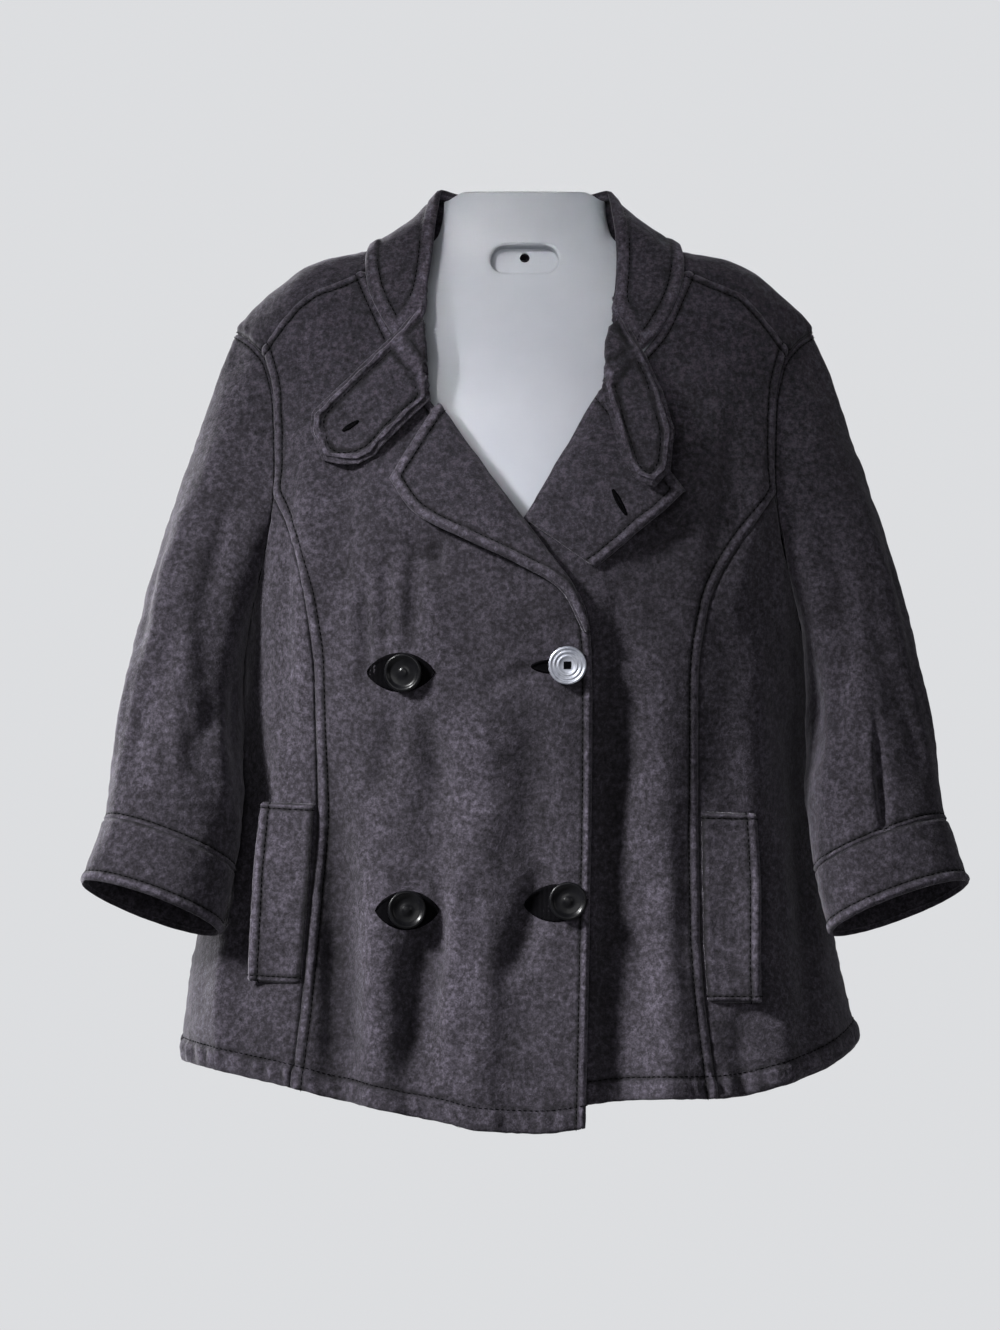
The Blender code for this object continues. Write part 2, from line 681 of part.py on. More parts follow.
def flat_head(c, s):
    """The same point on the sleeve's own first section."""
    first = SLEEVE[0]
    return Vector(((first.outer_x + first.inner_x) / 2 + c * (first.outer_x - first.inner_x) / 2,
                   first.y - s * first.half_depth,
                   (first.outer_z + first.inner_z) / 2 + c * (first.outer_z - first.inner_z) / 2))


def shrunk(ring, by):
    """A ring moved in towards its middle."""
    middle = sum(ring, Vector()) / len(ring)
    return [point + (middle - point).normalized() * by for point in ring]


def sleeves(group, material, steps=15):
    """Two sleeves and their turned cuffs."""
    for side, word in ((-1, "right"), (1, "left")):
        rings = [sleeve_ring(SLEEVE, i / steps, side, True) for i in range(steps + 1)]
        bands = [sleeve_ring(CUFF, i / 3, side) for i in range(4)]
        for name, outer, depth in ((f"sleeve_{word}", rings, CLOTH), (f"cuff_{word}", bands, 2.6)):
            if side < 0:
                outer = [ring[::-1] for ring in outer]
            loft(name, outer, [shrunk(ring, depth) for ring in outer], group, material, closed=True)


def collar_lift(x, z):
    """How far the collar stays off the front, and off the lapel that one tab lies over."""
    return 3.2 if x < 0 else 3.2 + 9.0 * ease(-78, -112, z)


def collar(group, material, columns=6, steps=54):
    """The collar with its tabs, one band from tip to tip."""
    grid = []
    for i in range(steps + 1):
        row = along(COLLAR, i / steps)
        start, middle, end = Vector(row[0:3]), Vector(row[3:6]), Vector(row[6:9])
        bend = middle * 2 - (start + end) / 2
        line = []
        for j in range(columns + 1):
            t = j / columns
            point = start * (1 - t) ** 2 + bend * 2 * t * (1 - t) + end * t * t
            if point.y < 0 and point.z < -25:
                point.y = min(point.y, body_y(point.x, point.z) - collar_lift(point.x, point.z))
            line.append(point)
        grid.append(line)
    cloth("collar", grid, group, material)


def lapels(group, material, rows=12, columns=5):
    """The two lapels, each turned back on its front."""
    for word, roll, edge, side in (("right", RIGHT_ROLL, RIGHT_LAPEL, -1),
                                   ("left", LEFT_ROLL, LEFT_LAPEL, 1)):
        grid = []
        for i in range(rows + 1):
            t = i / rows
            a, b = Vector(along(roll, t)), Vector(along(edge, t))
            line = []
            for j in range(columns + 1):
                s = j / columns
                x, z = a.lerp(b, s)
                lift = CLOTH + 0.9 + 4.2 * math.sin(math.pi * min(s * 1.1, 1.0)) * (1 - t * 0.85)
                line.append(front_place(x, z, lift + (under(x, z) if side > 0 else 0.0)))
            grid.append(line if side > 0 else line[::-1])
        grid.reverse()
        cloth(f"lapel_{word}", grid, group, material)


def pocket_welts(group, material, rows=8, columns=3):
    """The two upright pocket welts, which stand off at their open edge."""
    for welt in POCKETS:
        princess = LEFT_PRINCESS if welt.side > 0 else RIGHT_PRINCESS
        grid = []
        for i in range(rows + 1):
            t = i / rows
            z = welt.low + (welt.top - welt.low) * t
            line = []
            for j in range(columns + 1):
                s = j / columns
                x = smooth(princess, "z", z, "x") + welt.side * (1.5 + welt.width * s)
                lift = CLOTH + 0.5 + welt.gape * s * s * math.sin(math.pi * (0.12 + 0.76 * t))
                line.append(front_place(x, z - 2.5 * s * welt.side * 0.5, lift))
            grid.append(line if welt.side > 0 else line[::-1])
        cloth(welt.name, grid, group, material)


def buttons(group, materials):
    """The four dished buttons, each turned from a profile."""
    seat = SEAM_GAP - BUTTON_LIFT
    profile = ((0.0, seat), (BUTTON_SHANK, seat), (BUTTON_SHANK, 0.0),
               (BUTTON_RADIUS - 1.2, 0.0), (BUTTON_RADIUS, 1.0),
               (BUTTON_RADIUS, BUTTON_THICK - 0.9), (BUTTON_RADIUS - 0.9, BUTTON_THICK),
               (BUTTON_RADIUS - BUTTON_RIM, BUTTON_THICK - 0.3),
               (BUTTON_RADIUS - BUTTON_RIM - 1.4, BUTTON_THICK - 1.7), (3.2, BUTTON_THICK - 2.0),
               (2.2, BUTTON_THICK - 1.3), (0.0, BUTTON_THICK - 1.2))
    for row in BUTTONS:
        shape = bmesh.new()
        points = [shape.verts.new((r * MM, 0, h * MM)) for r, h in reversed(profile)]
        for a, b in zip(points, points[1:]):
            shape.edges.new((a, b))
        mesh = bpy.data.meshes.new(row.name)
        shape.to_mesh(mesh)
        shape.free()
        made = bpy.data.objects.new(row.name, mesh)
        turned = made.modifiers.new("Turn", "SCREW")
        turned.steps = turned.render_steps = 18
        turned.use_merge_vertices = True
        turned.merge_threshold = 0.00001
        base, tip = front_place(row.x, row.z, BUTTON_LIFT), front_place(row.x, row.z, BUTTON_LIFT + 1)
        made.location = base * MM
        made.rotation_euler = (tip - base).to_track_quat("Z", "Y").to_euler()
        made.data.materials.append(materials[row.finish])
        group.objects.link(made)


def stadium(name, length, height, middle, depth, group):
    """A closed block with a round-ended outline, square to the form's neck at its slot."""
    outline = bpy.data.curves.new(name, "CURVE")
    outline.dimensions = "2D"
    outline.fill_mode = "BOTH"
    outline.extrude = depth / 2 * MM
    spline = outline.splines.new("POLY")
    radius, arc = height / 2, 8
    turns = [math.pi * k / arc - math.pi / 2 for k in range(arc + 1)]
    points = [((length - height) / 2 + radius * math.cos(a), radius * math.sin(a)) for a in turns]
    points += [(-x, -y) for x, y in points]
    if length == height:
        points = points[:arc] + points[arc + 1:-1]
    spline.points.add(len(points) - 1)
    for point, (x, y) in zip(spline.points, points):
        point.co = (x * MM, y * MM, 0, 1)
    spline.use_cyclic_u = True
    curve = bpy.data.objects.new(name + "_outline", outline)
    group.objects.link(curve)
    lean = math.radians(90 - NECK_LEAN)
    out, up = Vector((0, -math.sin(lean), math.cos(lean))), Vector((0, math.cos(lean), math.sin(lean)))
    curve.location = (Vector((0, SLOT_Y, 0)) + up * (middle[0] - SLOT_HEIGHT / 2) + out * middle[1]) * MM
    curve.rotation_euler = (lean, 0, 0)
    bpy.context.view_layer.update()
    graph = bpy.context.evaluated_depsgraph_get()
    mesh = bpy.data.meshes.new_from_object(curve.evaluated_get(graph))
    shape = bmesh.new()
    shape.from_mesh(mesh)
    bmesh.ops.remove_doubles(shape, verts=shape.verts, dist=1e-6)
    bmesh.ops.recalc_face_normals(shape, faces=shape.faces)
    shape.to_mesh(mesh)
    shape.free()
    block = bpy.data.objects.new(name, mesh)
    group.objects.link(block)
    block.matrix_world = curve.matrix_world
    block.hide_render = True
    block.display_type = "WIRE"
    bpy.data.objects.remove(curve)
    return block


def form(group, cutters, material, columns=20):
    """The half-torso form: a shell with an open back, and a hanging slot sunk in its neck."""
    grid = []
    for row in reversed(FORM):
        line = []
        for j in range(columns + 1):
            turn = -math.pi / 2 + math.pi * j / columns
            across = math.copysign(abs(math.sin(turn)) ** (2 / FORM_ROUNDING), turn)
            line.append(Vector((row.half_width * across,
                                row.edge - (row.edge - row.front) * math.cos(turn), row.height)))
        grid.append(line)
    made = cloth("form", grid, group, material, thickness=FORM_WALL)
    wall = FORM_WALL / 2
    tray = stadium("slot_tray", SLOT_LENGTH + 4, SLOT_HEIGHT + 4,
                   (0, -(SLOT_DEPTH + 2 + wall) / 2), SLOT_DEPTH + 2 - wall, cutters)
    slot = stadium("slot_cutter", SLOT_LENGTH, SLOT_HEIGHT, (0, 10 - SLOT_DEPTH / 2),
                   SLOT_DEPTH + 20, cutters)
    hole = stadium("nail_cutter", NAIL_HOLE, NAIL_HOLE, (3.5, -SLOT_DEPTH), 12, cutters)
    for block, way in ((tray, "UNION"), (slot, "DIFFERENCE"), (hole, "DIFFERENCE")):
        cut = made.modifiers.new(block.name, "BOOLEAN")
        cut.operation = way
        cut.object = block


def main():
    for old in list(bpy.data.objects):
        bpy.data.objects.remove(old)
    jacket = collection_of("double_breasted_jacket")
    cutters = collection_of("cutters")
    fleece = finish("charcoal_fleece", (0.035, 0.033, 0.038), 0.95)
    plastic = finish("white_plastic", (0.62, 0.64, 0.67), 0.45)
    button_finishes = {"button_black": finish("button_black", (0.01, 0.01, 0.011), 0.2),
                       "button_silver": finish("button_silver", (0.6, 0.61, 0.66), 0.3, 0.6)}
    front_panels(jacket, fleece)
    back_panel(jacket, fleece)
    sleeves(jacket, fleece)
    collar(jacket, fleece)
    lapels(jacket, fleece)
    pocket_welts(jacket, fleece)
    buttons(jacket, button_finishes)
    form(jacket, cutters, plastic)


main()
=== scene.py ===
"""Looks of a charcoal double-breasted jacket that hangs on a white half-torso form.

Lengths are in millimetres until a mesh is made. +X is to the right of someone who faces the
jacket, -Y is towards them and +Z is up. The origin is the upper edge of the form's hanging slot.
"""

import logging
import math
from dataclasses import dataclass, field
from enum import Enum
from typing import Sequence

import bpy
import numpy as np
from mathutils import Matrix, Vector

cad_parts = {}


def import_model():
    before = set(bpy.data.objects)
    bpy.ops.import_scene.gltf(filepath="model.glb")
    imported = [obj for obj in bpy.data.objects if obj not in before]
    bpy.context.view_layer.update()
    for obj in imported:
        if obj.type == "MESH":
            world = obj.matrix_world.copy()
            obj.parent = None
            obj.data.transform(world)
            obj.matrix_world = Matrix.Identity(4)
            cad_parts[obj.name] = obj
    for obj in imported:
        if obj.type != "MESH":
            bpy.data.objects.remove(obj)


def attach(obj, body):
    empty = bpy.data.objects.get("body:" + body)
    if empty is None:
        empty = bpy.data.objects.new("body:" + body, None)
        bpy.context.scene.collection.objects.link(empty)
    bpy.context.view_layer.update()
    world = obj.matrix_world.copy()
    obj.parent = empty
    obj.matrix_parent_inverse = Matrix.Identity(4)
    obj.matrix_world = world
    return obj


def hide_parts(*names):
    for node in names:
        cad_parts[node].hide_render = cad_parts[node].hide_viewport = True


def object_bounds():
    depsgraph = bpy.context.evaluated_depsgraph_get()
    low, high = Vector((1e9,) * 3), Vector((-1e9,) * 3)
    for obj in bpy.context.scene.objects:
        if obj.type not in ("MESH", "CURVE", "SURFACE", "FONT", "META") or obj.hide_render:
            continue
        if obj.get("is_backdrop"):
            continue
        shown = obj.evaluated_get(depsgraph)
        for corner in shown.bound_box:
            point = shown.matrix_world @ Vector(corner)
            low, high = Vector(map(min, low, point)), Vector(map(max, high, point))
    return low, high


LOG = logging.getLogger("jacket")
MM = 0.001
BODY_NAME = "root"


class Side(Enum):
    """The wearer's two sides; the value is the sign of X."""

    RIGHT = -1
    LEFT = 1

    @property
    def word(self) -> str:
        """The side's name, as the nodes have it."""
        return self.name.lower()


class Edge(Enum):
    """How an edge of a piece of cloth is finished."""

    SEAM = "sewn to its neighbour, so it dips"
    STITCHED_SEAM = "sewn to its neighbour and stitched beside the seam"
    FOLDED = "turned in and stitched, which makes a plump rim"
    HEM = "turned up and stitched further in"
    PLAIN = "left as it is"


def ease(low: float, high: float, value: np.ndarray) -> np.ndarray:
    """Step smoothly from nought at low to one at high.

    Args:
        low: Where the step starts.
        high: Where it ends; it may lie under low.
        value: Places to read.

    Returns:
        Shares from nought to one.
    """
    t = np.clip((np.asarray(value, float) - low) / (high - low), 0.0, 1.0)
    return t * t * (3 - 2 * t)


def bump(distance: np.ndarray, width: float) -> np.ndarray:
    """Give a soft bell of height one.

    Args:
        distance: Distances from its middle.
        width: Half width at about a third of its height.

    Returns:
        Heights.
    """
    return np.exp(-((np.asarray(distance) / width) ** 2))


def ripple(points: np.ndarray, wavelength: float, seed: int, waves: int = 14) -> np.ndarray:
    """Sum waves in fixed directions into an uneven, smooth relief.

    Args:
        points: Places, with x, y and z last.
        wavelength: Mean length of a wave.
        seed: Choice of directions.
        waves: Number of waves.

    Returns:
        Heights of about minus one to one.
    """
    chance = np.random.default_rng(seed)
    total = np.zeros(points.shape[:-1])
    for _ in range(waves):
        way = chance.normal(size=3)
        way *= 2 * math.pi / (wavelength * chance.uniform(0.6, 1.7) * np.linalg.norm(way))
        total += np.sin(points @ way + chance.uniform(0, 2 * math.pi))
    return total * math.sqrt(2 / waves) / 1.6


class Track:
    """A smooth curve through a few values that never overshoots them."""

    def __init__(self, places: Sequence[float], values: Sequence[float]) -> None:
        """Keep the places in rising order, with a slope at each.

        Args:
            places: Where the values are known.
            values: The values there.
        """
        order = np.argsort(places)
        self.places = np.asarray(places, float)[order]
        self.values = np.asarray(values, float)[order]
        steps = np.diff(self.values) / np.diff(self.places)
        before, after = steps[:-1], steps[1:]
        total = np.where(before * after > 0, before + after, 1.0)
        inner = np.where(before * after > 0, 2 * before * after / total, 0.0)
        self.slopes = np.concatenate([steps[:1], inner, steps[-1:]])

    def __call__(self, at: np.ndarray) -> np.ndarray:
        """Read the curve.

        Args:
            at: Places, held to the known range.

        Returns:
            Values there.
        """
        at = np.clip(at, self.places[0], self.places[-1])
        k = np.clip(np.searchsorted(self.places, at, side="right") - 1, 0, len(self.places) - 2)
        span = self.places[k + 1] - self.places[k]
        t = (at - self.places[k]) / span
        rise = self.slopes[k] * t * (1 - t) ** 2 - self.slopes[k + 1] * t * t * (1 - t)
        ends = self.values[k] * (1 + 2 * t) * (1 - t) ** 2 + self.values[k + 1] * t * t * (3 - 2 * t)
        return ends + span * rise


class Path:
    """A smooth path through a few points, read by the share of its length."""

    def __init__(self, points: Sequence[Sequence[float]]) -> None:
        """Fit a track to each coordinate.

        Args:
            points: Points in order, with any number of coordinates.
        """
        places = np.asarray(points, float)
        runs = np.concatenate([[0.0], np.cumsum(np.linalg.norm(np.diff(places, axis=0), axis=1))])
        self.length = float(runs[-1])
        self.tracks = [Track(runs / runs[-1], column) for column in places.T]

    def __call__(self, share: np.ndarray) -> np.ndarray:
        """Read points along the path.

        Args:
            share: Shares of its length.

        Returns:
            Points, with the coordinates last.
        """
        return np.stack([track(np.asarray(share, float)) for track in self.tracks], axis=-1)


@dataclass(frozen=True)
class Crease:
    """A soft trough or ridge across the front, from one place to another in x and z."""

    x_from: float
    z_from: float
    x_to: float
    z_to: float
    width: float
    depth: float
    lean: float = 0.0

    def lift(self, x: np.ndarray, z: np.ndarray) -> np.ndarray:
        """Give how far it lifts the cloth.

        Args:
            x: Places across.
            z: Heights.

        Returns:
            Lifts, under nought in a trough.
        """
        way = np.array([self.x_to - self.x_from, self.z_to - self.z_from])
        length = np.linalg.norm(way)
        way = way / length
        run = (x - self.x_from) * way[0] + (z - self.z_from) * way[1]
        off = (x - self.x_from) * way[1] - (z - self.z_from) * way[0]
        share = run / length
        taper = ease(-0.05, 0.35, share) * (1 - ease(0.65, 1.05, share))
        return self.depth * taper * bump(off, self.width) * (1 + self.lean * off / self.width)


@dataclass(frozen=True)
class Fold:
    """One of the body's largest folds, from its top to its foot."""

    x_top: float
    z_top: float
    x_low: float
    z_low: float
    width: float
    depth: float

    def lift(self, x: np.ndarray, z: np.ndarray) -> np.ndarray:
        """Give how far it lifts the cloth.

        Args:
            x: Places across.
            z: Heights.

        Returns:
            Lifts, under nought in a trough.
        """
        t = (self.z_top - z) / (self.z_top - self.z_low)
        middle = self.x_top + t * (self.x_low - self.x_top)
        strength = ease(0, 0.45, t) * (t < 1.2)
        if self.z_low > -600:
            strength = strength * (1 - ease(0.6, 1, t))
        return self.depth * strength * bump(x - middle, self.width)


@dataclass
class Torso:
    """The jacket's body: a front and a back surface that close over the shoulders."""

    side_seam_y: float = 10.0
    back_y: float = 40.0
    front_rounding: float = 2.4
    back_rounding: float = 6.0
    roll: float = 50.0
    armpit_z: float = -286.0
    tip_z: float = -58.0
    under_depth: float = 5.0
    heights: tuple = (-660, -606, -556, -519, -475, -380, -320, -250, -190, -130, -70, -20, 30)
    right_half: tuple = (240, 239, 237, 233, 226, 207, 198, 196, 198, 200, 203, 205, 206)
    left_half: tuple = (241, 237, 232, 223, 213, 200, 197, 196, 198, 200, 203, 205, 206)
    front: tuple = (-103, -101, -97, -94, -92, -92, -98, -101, -91, -69, -44, -27, -20)
    ridge_across: tuple = (0, 100, 120, 140, 157, 173, 188, 200, 210)
    ridge_heights: tuple = (-2, -2, -6, -10, -18, -31, -45, -58, -72)
    armhole_heights: tuple = (-300, -286, -276, -245, -204, -156, -110, -80, -66, -58)
    armhole_front: tuple = (197.0, 196.6, 194, 187, 178, 172, 173, 179, 189, 200)
    armhole_back: tuple = (197.0, 196.6, 195, 190, 184, 182, 186, 192, 197, 200)
    front_folds: tuple = (
        Fold(-118, -380, -128, -640, 13, -6.5),
        Fold(-92, -330, -98, -640, 17, 5.0),
        Fold(-60, -430, -66, -560, 9, -3.5),
        Fold(-30, -300, -36, -640, 22, 3.5),
        Fold(14, -400, 2, -520, 10, -3.0),
        Fold(-128, -120, -132, -300, 12, -3.0),
        Fold(86, -380, 66, -640, 15, -5.0),
        Fold(100, -420, 104, -640, 14, 4.0),
        Fold(160, -300, 168, -640, 18, 5.0),
        Fold(140, -110, 146, -230, 12, -3.0),
    )
    back_folds: tuple = (
        Fold(-120, -260, -140, -640, 24, 5.0),
        Fold(-62, -330, -70, -640, 18, -4.0),
        Fold(8, -300, 4, -640, 26, 4.5),
        Fold(70, -340, 78, -640, 18, -4.0),
        Fold(128, -260, 146, -640, 24, 5.0),
    )

    def __post_init__(self) -> None:
        """Fit the tracks to the tables."""
        self.right = Track(self.heights, self.right_half)
        self.left = Track(self.heights, self.left_half)
        self.front_at = Track(self.heights, self.front)
        self.ridge_at = Track(self.ridge_across, self.ridge_heights)
        self.scoop_front = Track(self.armhole_heights, self.armhole_front)
        self.scoop_back = Track(self.armhole_heights, self.armhole_back)

    def half_width(self, x: np.ndarray, z: np.ndarray) -> np.ndarray:
        """Give the half width on the side where x lies.

        Args:
            x: Places whose sign picks the side.
            z: Heights.

        Returns:
            Half widths.
        """
        return np.where(np.asarray(x) > 0, self.left(z), self.right(z))

    def ridge(self, x: np.ndarray) -> np.ndarray:
        """Give the height of the shoulder's top at a place across."""
        return self.ridge_at(np.abs(x))

    def depth(self, x: np.ndarray, z: np.ndarray, back: np.ndarray) -> np.ndarray:
        """Give the place of the front or back surface along Y.

        Args:
            x: Places across.
            z: Heights.
            back: True where the back surface is meant.

        Returns:
            Places along Y.
        """
        share = np.minimum(np.abs(x) / self.half_width(x, z), 1.0)
        rounded = np.sqrt(1 - share**self.front_rounding)
        flat = np.sqrt(1 - share**self.back_rounding)
        folds = sum(fold.lift(x, z) for fold in self.front_folds)
        front_y = self.side_seam_y - (self.side_seam_y - self.front_at(z)) * rounded - folds * rounded
        back_y = self.side_seam_y + (self.back_y - self.side_seam_y) * flat
        back_y = back_y - 6 * flat * ease(-120, -320, z)
        back_y = back_y + np.minimum(sum(fold.lift(x, z) for fold in self.back_folds), 5.5) * flat
        rise = np.clip((z - self.ridge(x) + self.roll) / self.roll, 0.0, 1.0)
        middle, reach = (front_y + back_y) / 2, (back_y - front_y) / 2 * np.sqrt(1 - rise * rise)
        return np.where(back, middle + reach, middle - reach)

    def on_front(self, x: np.ndarray, z: np.ndarray, lift: np.ndarray = 0.0) -> np.ndarray:
        """Give points of the front surface, moved out by a lift.

        Args:
            x: Places across.
            z: Heights.
            lift: How far out along the surface's normal.

        Returns:
            Points, with the coordinates last.
        """
        x, z = np.broadcast_arrays(np.asarray(x, float), np.asarray(z, float))
        slope_x = (self.depth(x + 1, z, False) - self.depth(x - 1, z, False)) / 2
        slope_z = (self.depth(x, z + 1, False) - self.depth(x, z - 1, False)) / 2
        out = np.stack([slope_x, -np.ones_like(slope_x), slope_z], axis=-1)
        out /= np.linalg.norm(out, axis=-1, keepdims=True)
        place = np.stack([x, self.depth(x, z, False), z], axis=-1)
        return place + out * np.asarray(lift)[..., None]

    def on_back(self, x: np.ndarray, run: np.ndarray) -> np.ndarray:
        """Give points of the back at a run up it and on over the shoulder.

        Args:
            x: Places across.
            run: Lengths up from the foot of the shoulder's rounding.

        Returns:
            Points, with the coordinates last.
        """
        over = self.roll * np.sin(np.clip(run / self.roll, 0, math.pi))
        z = self.ridge(x) - self.roll + np.where(run < 0, run, over)
        return np.stack([x, self.depth(x, z, run < self.roll * math.pi / 2), z], axis=-1)

    def run_at(self, x: np.ndarray, z: np.ndarray, behind: bool) -> np.ndarray:
        """Give the run of the back at which a height is reached.

        Args:
            x: Places across.
            z: Heights.
            behind: True before the shoulder's top is passed.

        Returns:
            Runs.
        """
        rise = (z - self.ridge(x) + self.roll) / self.roll
        turn = np.arcsin(np.clip(rise, 0.0, 1.0))
        return np.where(rise <= 0, rise * self.roll, self.roll * (turn if behind else math.pi - turn))

    def turn(self, x: np.ndarray, z: np.ndarray) -> np.ndarray:
        """Give the angle round the front's section at which a place lies."""
        share = np.minimum(np.abs(x) / self.half_width(x, z), 1.0)
        return np.copysign(np.arcsin(share ** (self.front_rounding / 2)), x)

    def across(self, turn: np.ndarray, z: np.ndarray) -> np.ndarray:
        """Give the place across for an angle round the front's section."""
        share = np.sin(np.abs(turn)) ** (2 / self.front_rounding)
        return np.copysign(self.half_width(turn, z) * share, turn)

    def under(self, x: np.ndarray, z: np.ndarray) -> np.ndarray:
        """Give how far the covered front is pushed back."""
        return -self.under_depth * (1 - ease(62, 104, x)) * (1 - ease(-130, -90, z))

    def armhole(self, turn: np.ndarray, back: bool) -> tuple[np.ndarray, np.ndarray]:
        """Give the armhole's edge at angles round it from the shoulder's tip.

        Args:
            turn: Angles in radians.
            back: True for its back half.

        Returns:
            Places across on the positive side, and heights.
        """
        z = (self.tip_z + self.armpit_z) / 2 + (self.tip_z - self.armpit_z) / 2 * np.cos(turn)
        return (self.scoop_back if back else self.scoop_front)(z), z


def patch(torso: Torso, curves: dict[str, np.ndarray], s: np.ndarray, t: np.ndarray) -> tuple:
    """Fill a panel of the front between four curves of x and z.

    Args:
        torso: The body it lies on.
        curves: The curves low and high, read at s, and inner and outer, read at t.
        s: Shares from inner to outer.
        t: Shares from the hem up.

    Returns:
        Places across and heights, as rows from the hem up.
    """
    low, high, inner, outer = (
        np.stack([torso.turn(curves[k][:, 0], curves[k][:, 1]), curves[k][:, 1]], axis=-1)
        for k in ("low", "high", "inner", "outer")
    )
    s, t = s[None, :, None], t[:, None, None]
    flat = inner[:, None] * (1 - s) + outer[:, None] * s + low[None] * (1 - t) + high[None] * t
    flat -= (low[0] * (1 - s) + low[-1] * s) * (1 - t) + (high[0] * (1 - s) + high[-1] * s) * t
    return torso.across(flat[..., 0], flat[..., 1]), flat[..., 1]


def stations(length: float, fine: float = 1.0, reach: float = 12.0, coarse: float = 3.4) -> np.ndarray:
    """Space shares along a length, close together near both ends.

    Args:
        length: The length they divide.
        fine: Step near the ends.
        reach: How far in from an end the fine step goes.
        coarse: Step between.

    Returns:
        Shares from nought to one.
    """
    ends = np.arange(0, reach, fine)
    middle = np.linspace(reach, length - reach, max(int((length - 2 * reach) / coarse), 2))
    return np.concatenate([ends, middle, length - ends[::-1]]) / length


def runs_along(grid: np.ndarray, axis: int) -> np.ndarray:
    """Give the length from a grid's first row or column to each of its points.

    Args:
        grid: Points as rows and columns.
        axis: 0 to count over rows, 1 over columns.

    Returns:
        Lengths.
    """
    steps = np.linalg.norm(np.diff(grid, axis=axis), axis=-1)
    pad = [(1, 0), (0, 0)] if axis == 0 else [(0, 0), (1, 0)]
    return np.cumsum(np.pad(steps, pad), axis=axis)


def normals_of(grid: np.ndarray, closed: bool = False) -> np.ndarray:
    """Give a grid's unit normals, columns crossed with rows.

    Args:
        grid: Points as rows and columns.
        closed: True where the last column meets the first.

    Returns:
        Unit vectors.
    """
    if closed:
        across = np.roll(grid, -1, axis=1) - np.roll(grid, 1, axis=1)
    else:
        across = np.gradient(grid, axis=1)
    out = np.cross(across, np.gradient(grid, axis=0))
    return out / np.maximum(np.linalg.norm(out, axis=-1, keepdims=True), 1e-9)


@dataclass(frozen=True)
class Sewing:
    """Sizes of the edges and seams, in millimetres."""

    rim: float = 1.3
    groove: float = 1.25
    groove_width: float = 1.4
    dip: float = 1.9
    dip_width: float = 1.9

    def lift(self, kind: Edge, distance: np.ndarray, stitch: float) -> tuple[np.ndarray, np.ndarray]:
        """Give the relief beside an edge, and its painted shading and worn rim.

        Args:
            kind: How the edge is finished.
            distance: Distances from it.
            stitch: Where its stitching runs.

        Returns:
            Lifts, and a value from minus one, where a groove or seam dip gets painted shade, to one, where a
            worn rim gets lighter, partly as a painted highlight.
        """
        none = np.zeros_like(distance)
        if kind is Edge.PLAIN:
            return none, none
        dip = bump(distance, self.dip_width)
        # The second value darkens seam dips and grooves as painted shade and lightens worn rims, partly as a
        # painted highlight.
        if kind is Edge.SEAM:
            return -self.dip * dip, -0.9 * dip
        band = ease(0, 2.4, distance) * (1 - ease(stitch - 1, stitch + 3, distance))
        groove = bump(distance - stitch, self.groove_width)
        # Worn rim, lighter in colour; partly a painted highlight.
        rubbed_and_painted_shading = bump(distance - 0.45 * stitch, 0.3 * stitch)
        if kind is Edge.STITCHED_SEAM:
            lift = -self.dip * dip + 0.8 * band - 0.9 * self.groove * groove
            return lift, 0.75 * rubbed_and_painted_shading - dip - groove
        if kind is Edge.HEM:
            return 0.4 * self.rim * band - 1.4 * self.groove * groove, 0.25 * rubbed_and_painted_shading - groove
        return self.rim * band - 0.5 * bump(distance, 1.2) - self.groove * groove, rubbed_and_painted_shading - groove

    def pucker(self, kind: Edge, distance: np.ndarray, run: np.ndarray, stitch: float) -> np.ndarray:
        """Give the small puckers that the thread draws up beside an edge.

        Args:
            kind: How the edge is finished.
            distance: Distances from it.
            run: Lengths along it.
            stitch: Where its stitching runs.

        Returns:
            Lifts.
        """
        if kind is Edge.PLAIN:
            return np.zeros_like(distance)
        wander = 1.7 * np.sin(run / 9.1) + 1.1 * np.sin(run / 5.3 + 1)
        if kind is Edge.HEM:
            rope = np.sin(run / 2.1 + 0.12 * distance + wander)
            return 1.4 * bump(distance - 0.5 * stitch, 0.42 * stitch) * rope
        return 0.22 * bump(distance - 0.8 * stitch, 0.8 * stitch) * np.sin(run / 1.9 + wander)


@dataclass
class Finishing:
    """How the four edges of a grid are finished, and where they are stitched."""

    left: Edge = Edge.SEAM
    right: Edge = Edge.SEAM
    low: Edge = Edge.SEAM
    high: Edge = Edge.SEAM
    stitch: dict[str, float] = field(default_factory=dict)
    around: tuple[str, ...] = ()
    around_stitch: float = 7.5

    def border(self, grid: np.ndarray) -> np.ndarray:
        """Give the points of the edges round which one rim runs.

        Args:
            grid: Points as rows and columns.

        Returns:
            Points in order.
        """
        sides = {
            "low": grid[0],
            "right": grid[:, -1],
            "high": grid[-1, ::-1],
            "left": grid[::-1, 0],
        }
        return np.concatenate([sides[edge] for edge in self.around])

    def distances(self, grid: np.ndarray) -> dict[str, np.ndarray]:
        """Give each point's distance from the four edges.

        Args:
            grid: Points as rows and columns.

        Returns:
            Distances by the edge's name.
        """
        across, up = runs_along(grid, 1), runs_along(grid, 0)
        return {
            "left": across,
            "right": across[:, -1:] - across,
            "low": up,
            "high": up[-1:] - up,
        }


@dataclass
class Thread:
    """A run of stitches: its points and the directions that point out of the cloth."""

    points: np.ndarray
    normals: np.ndarray


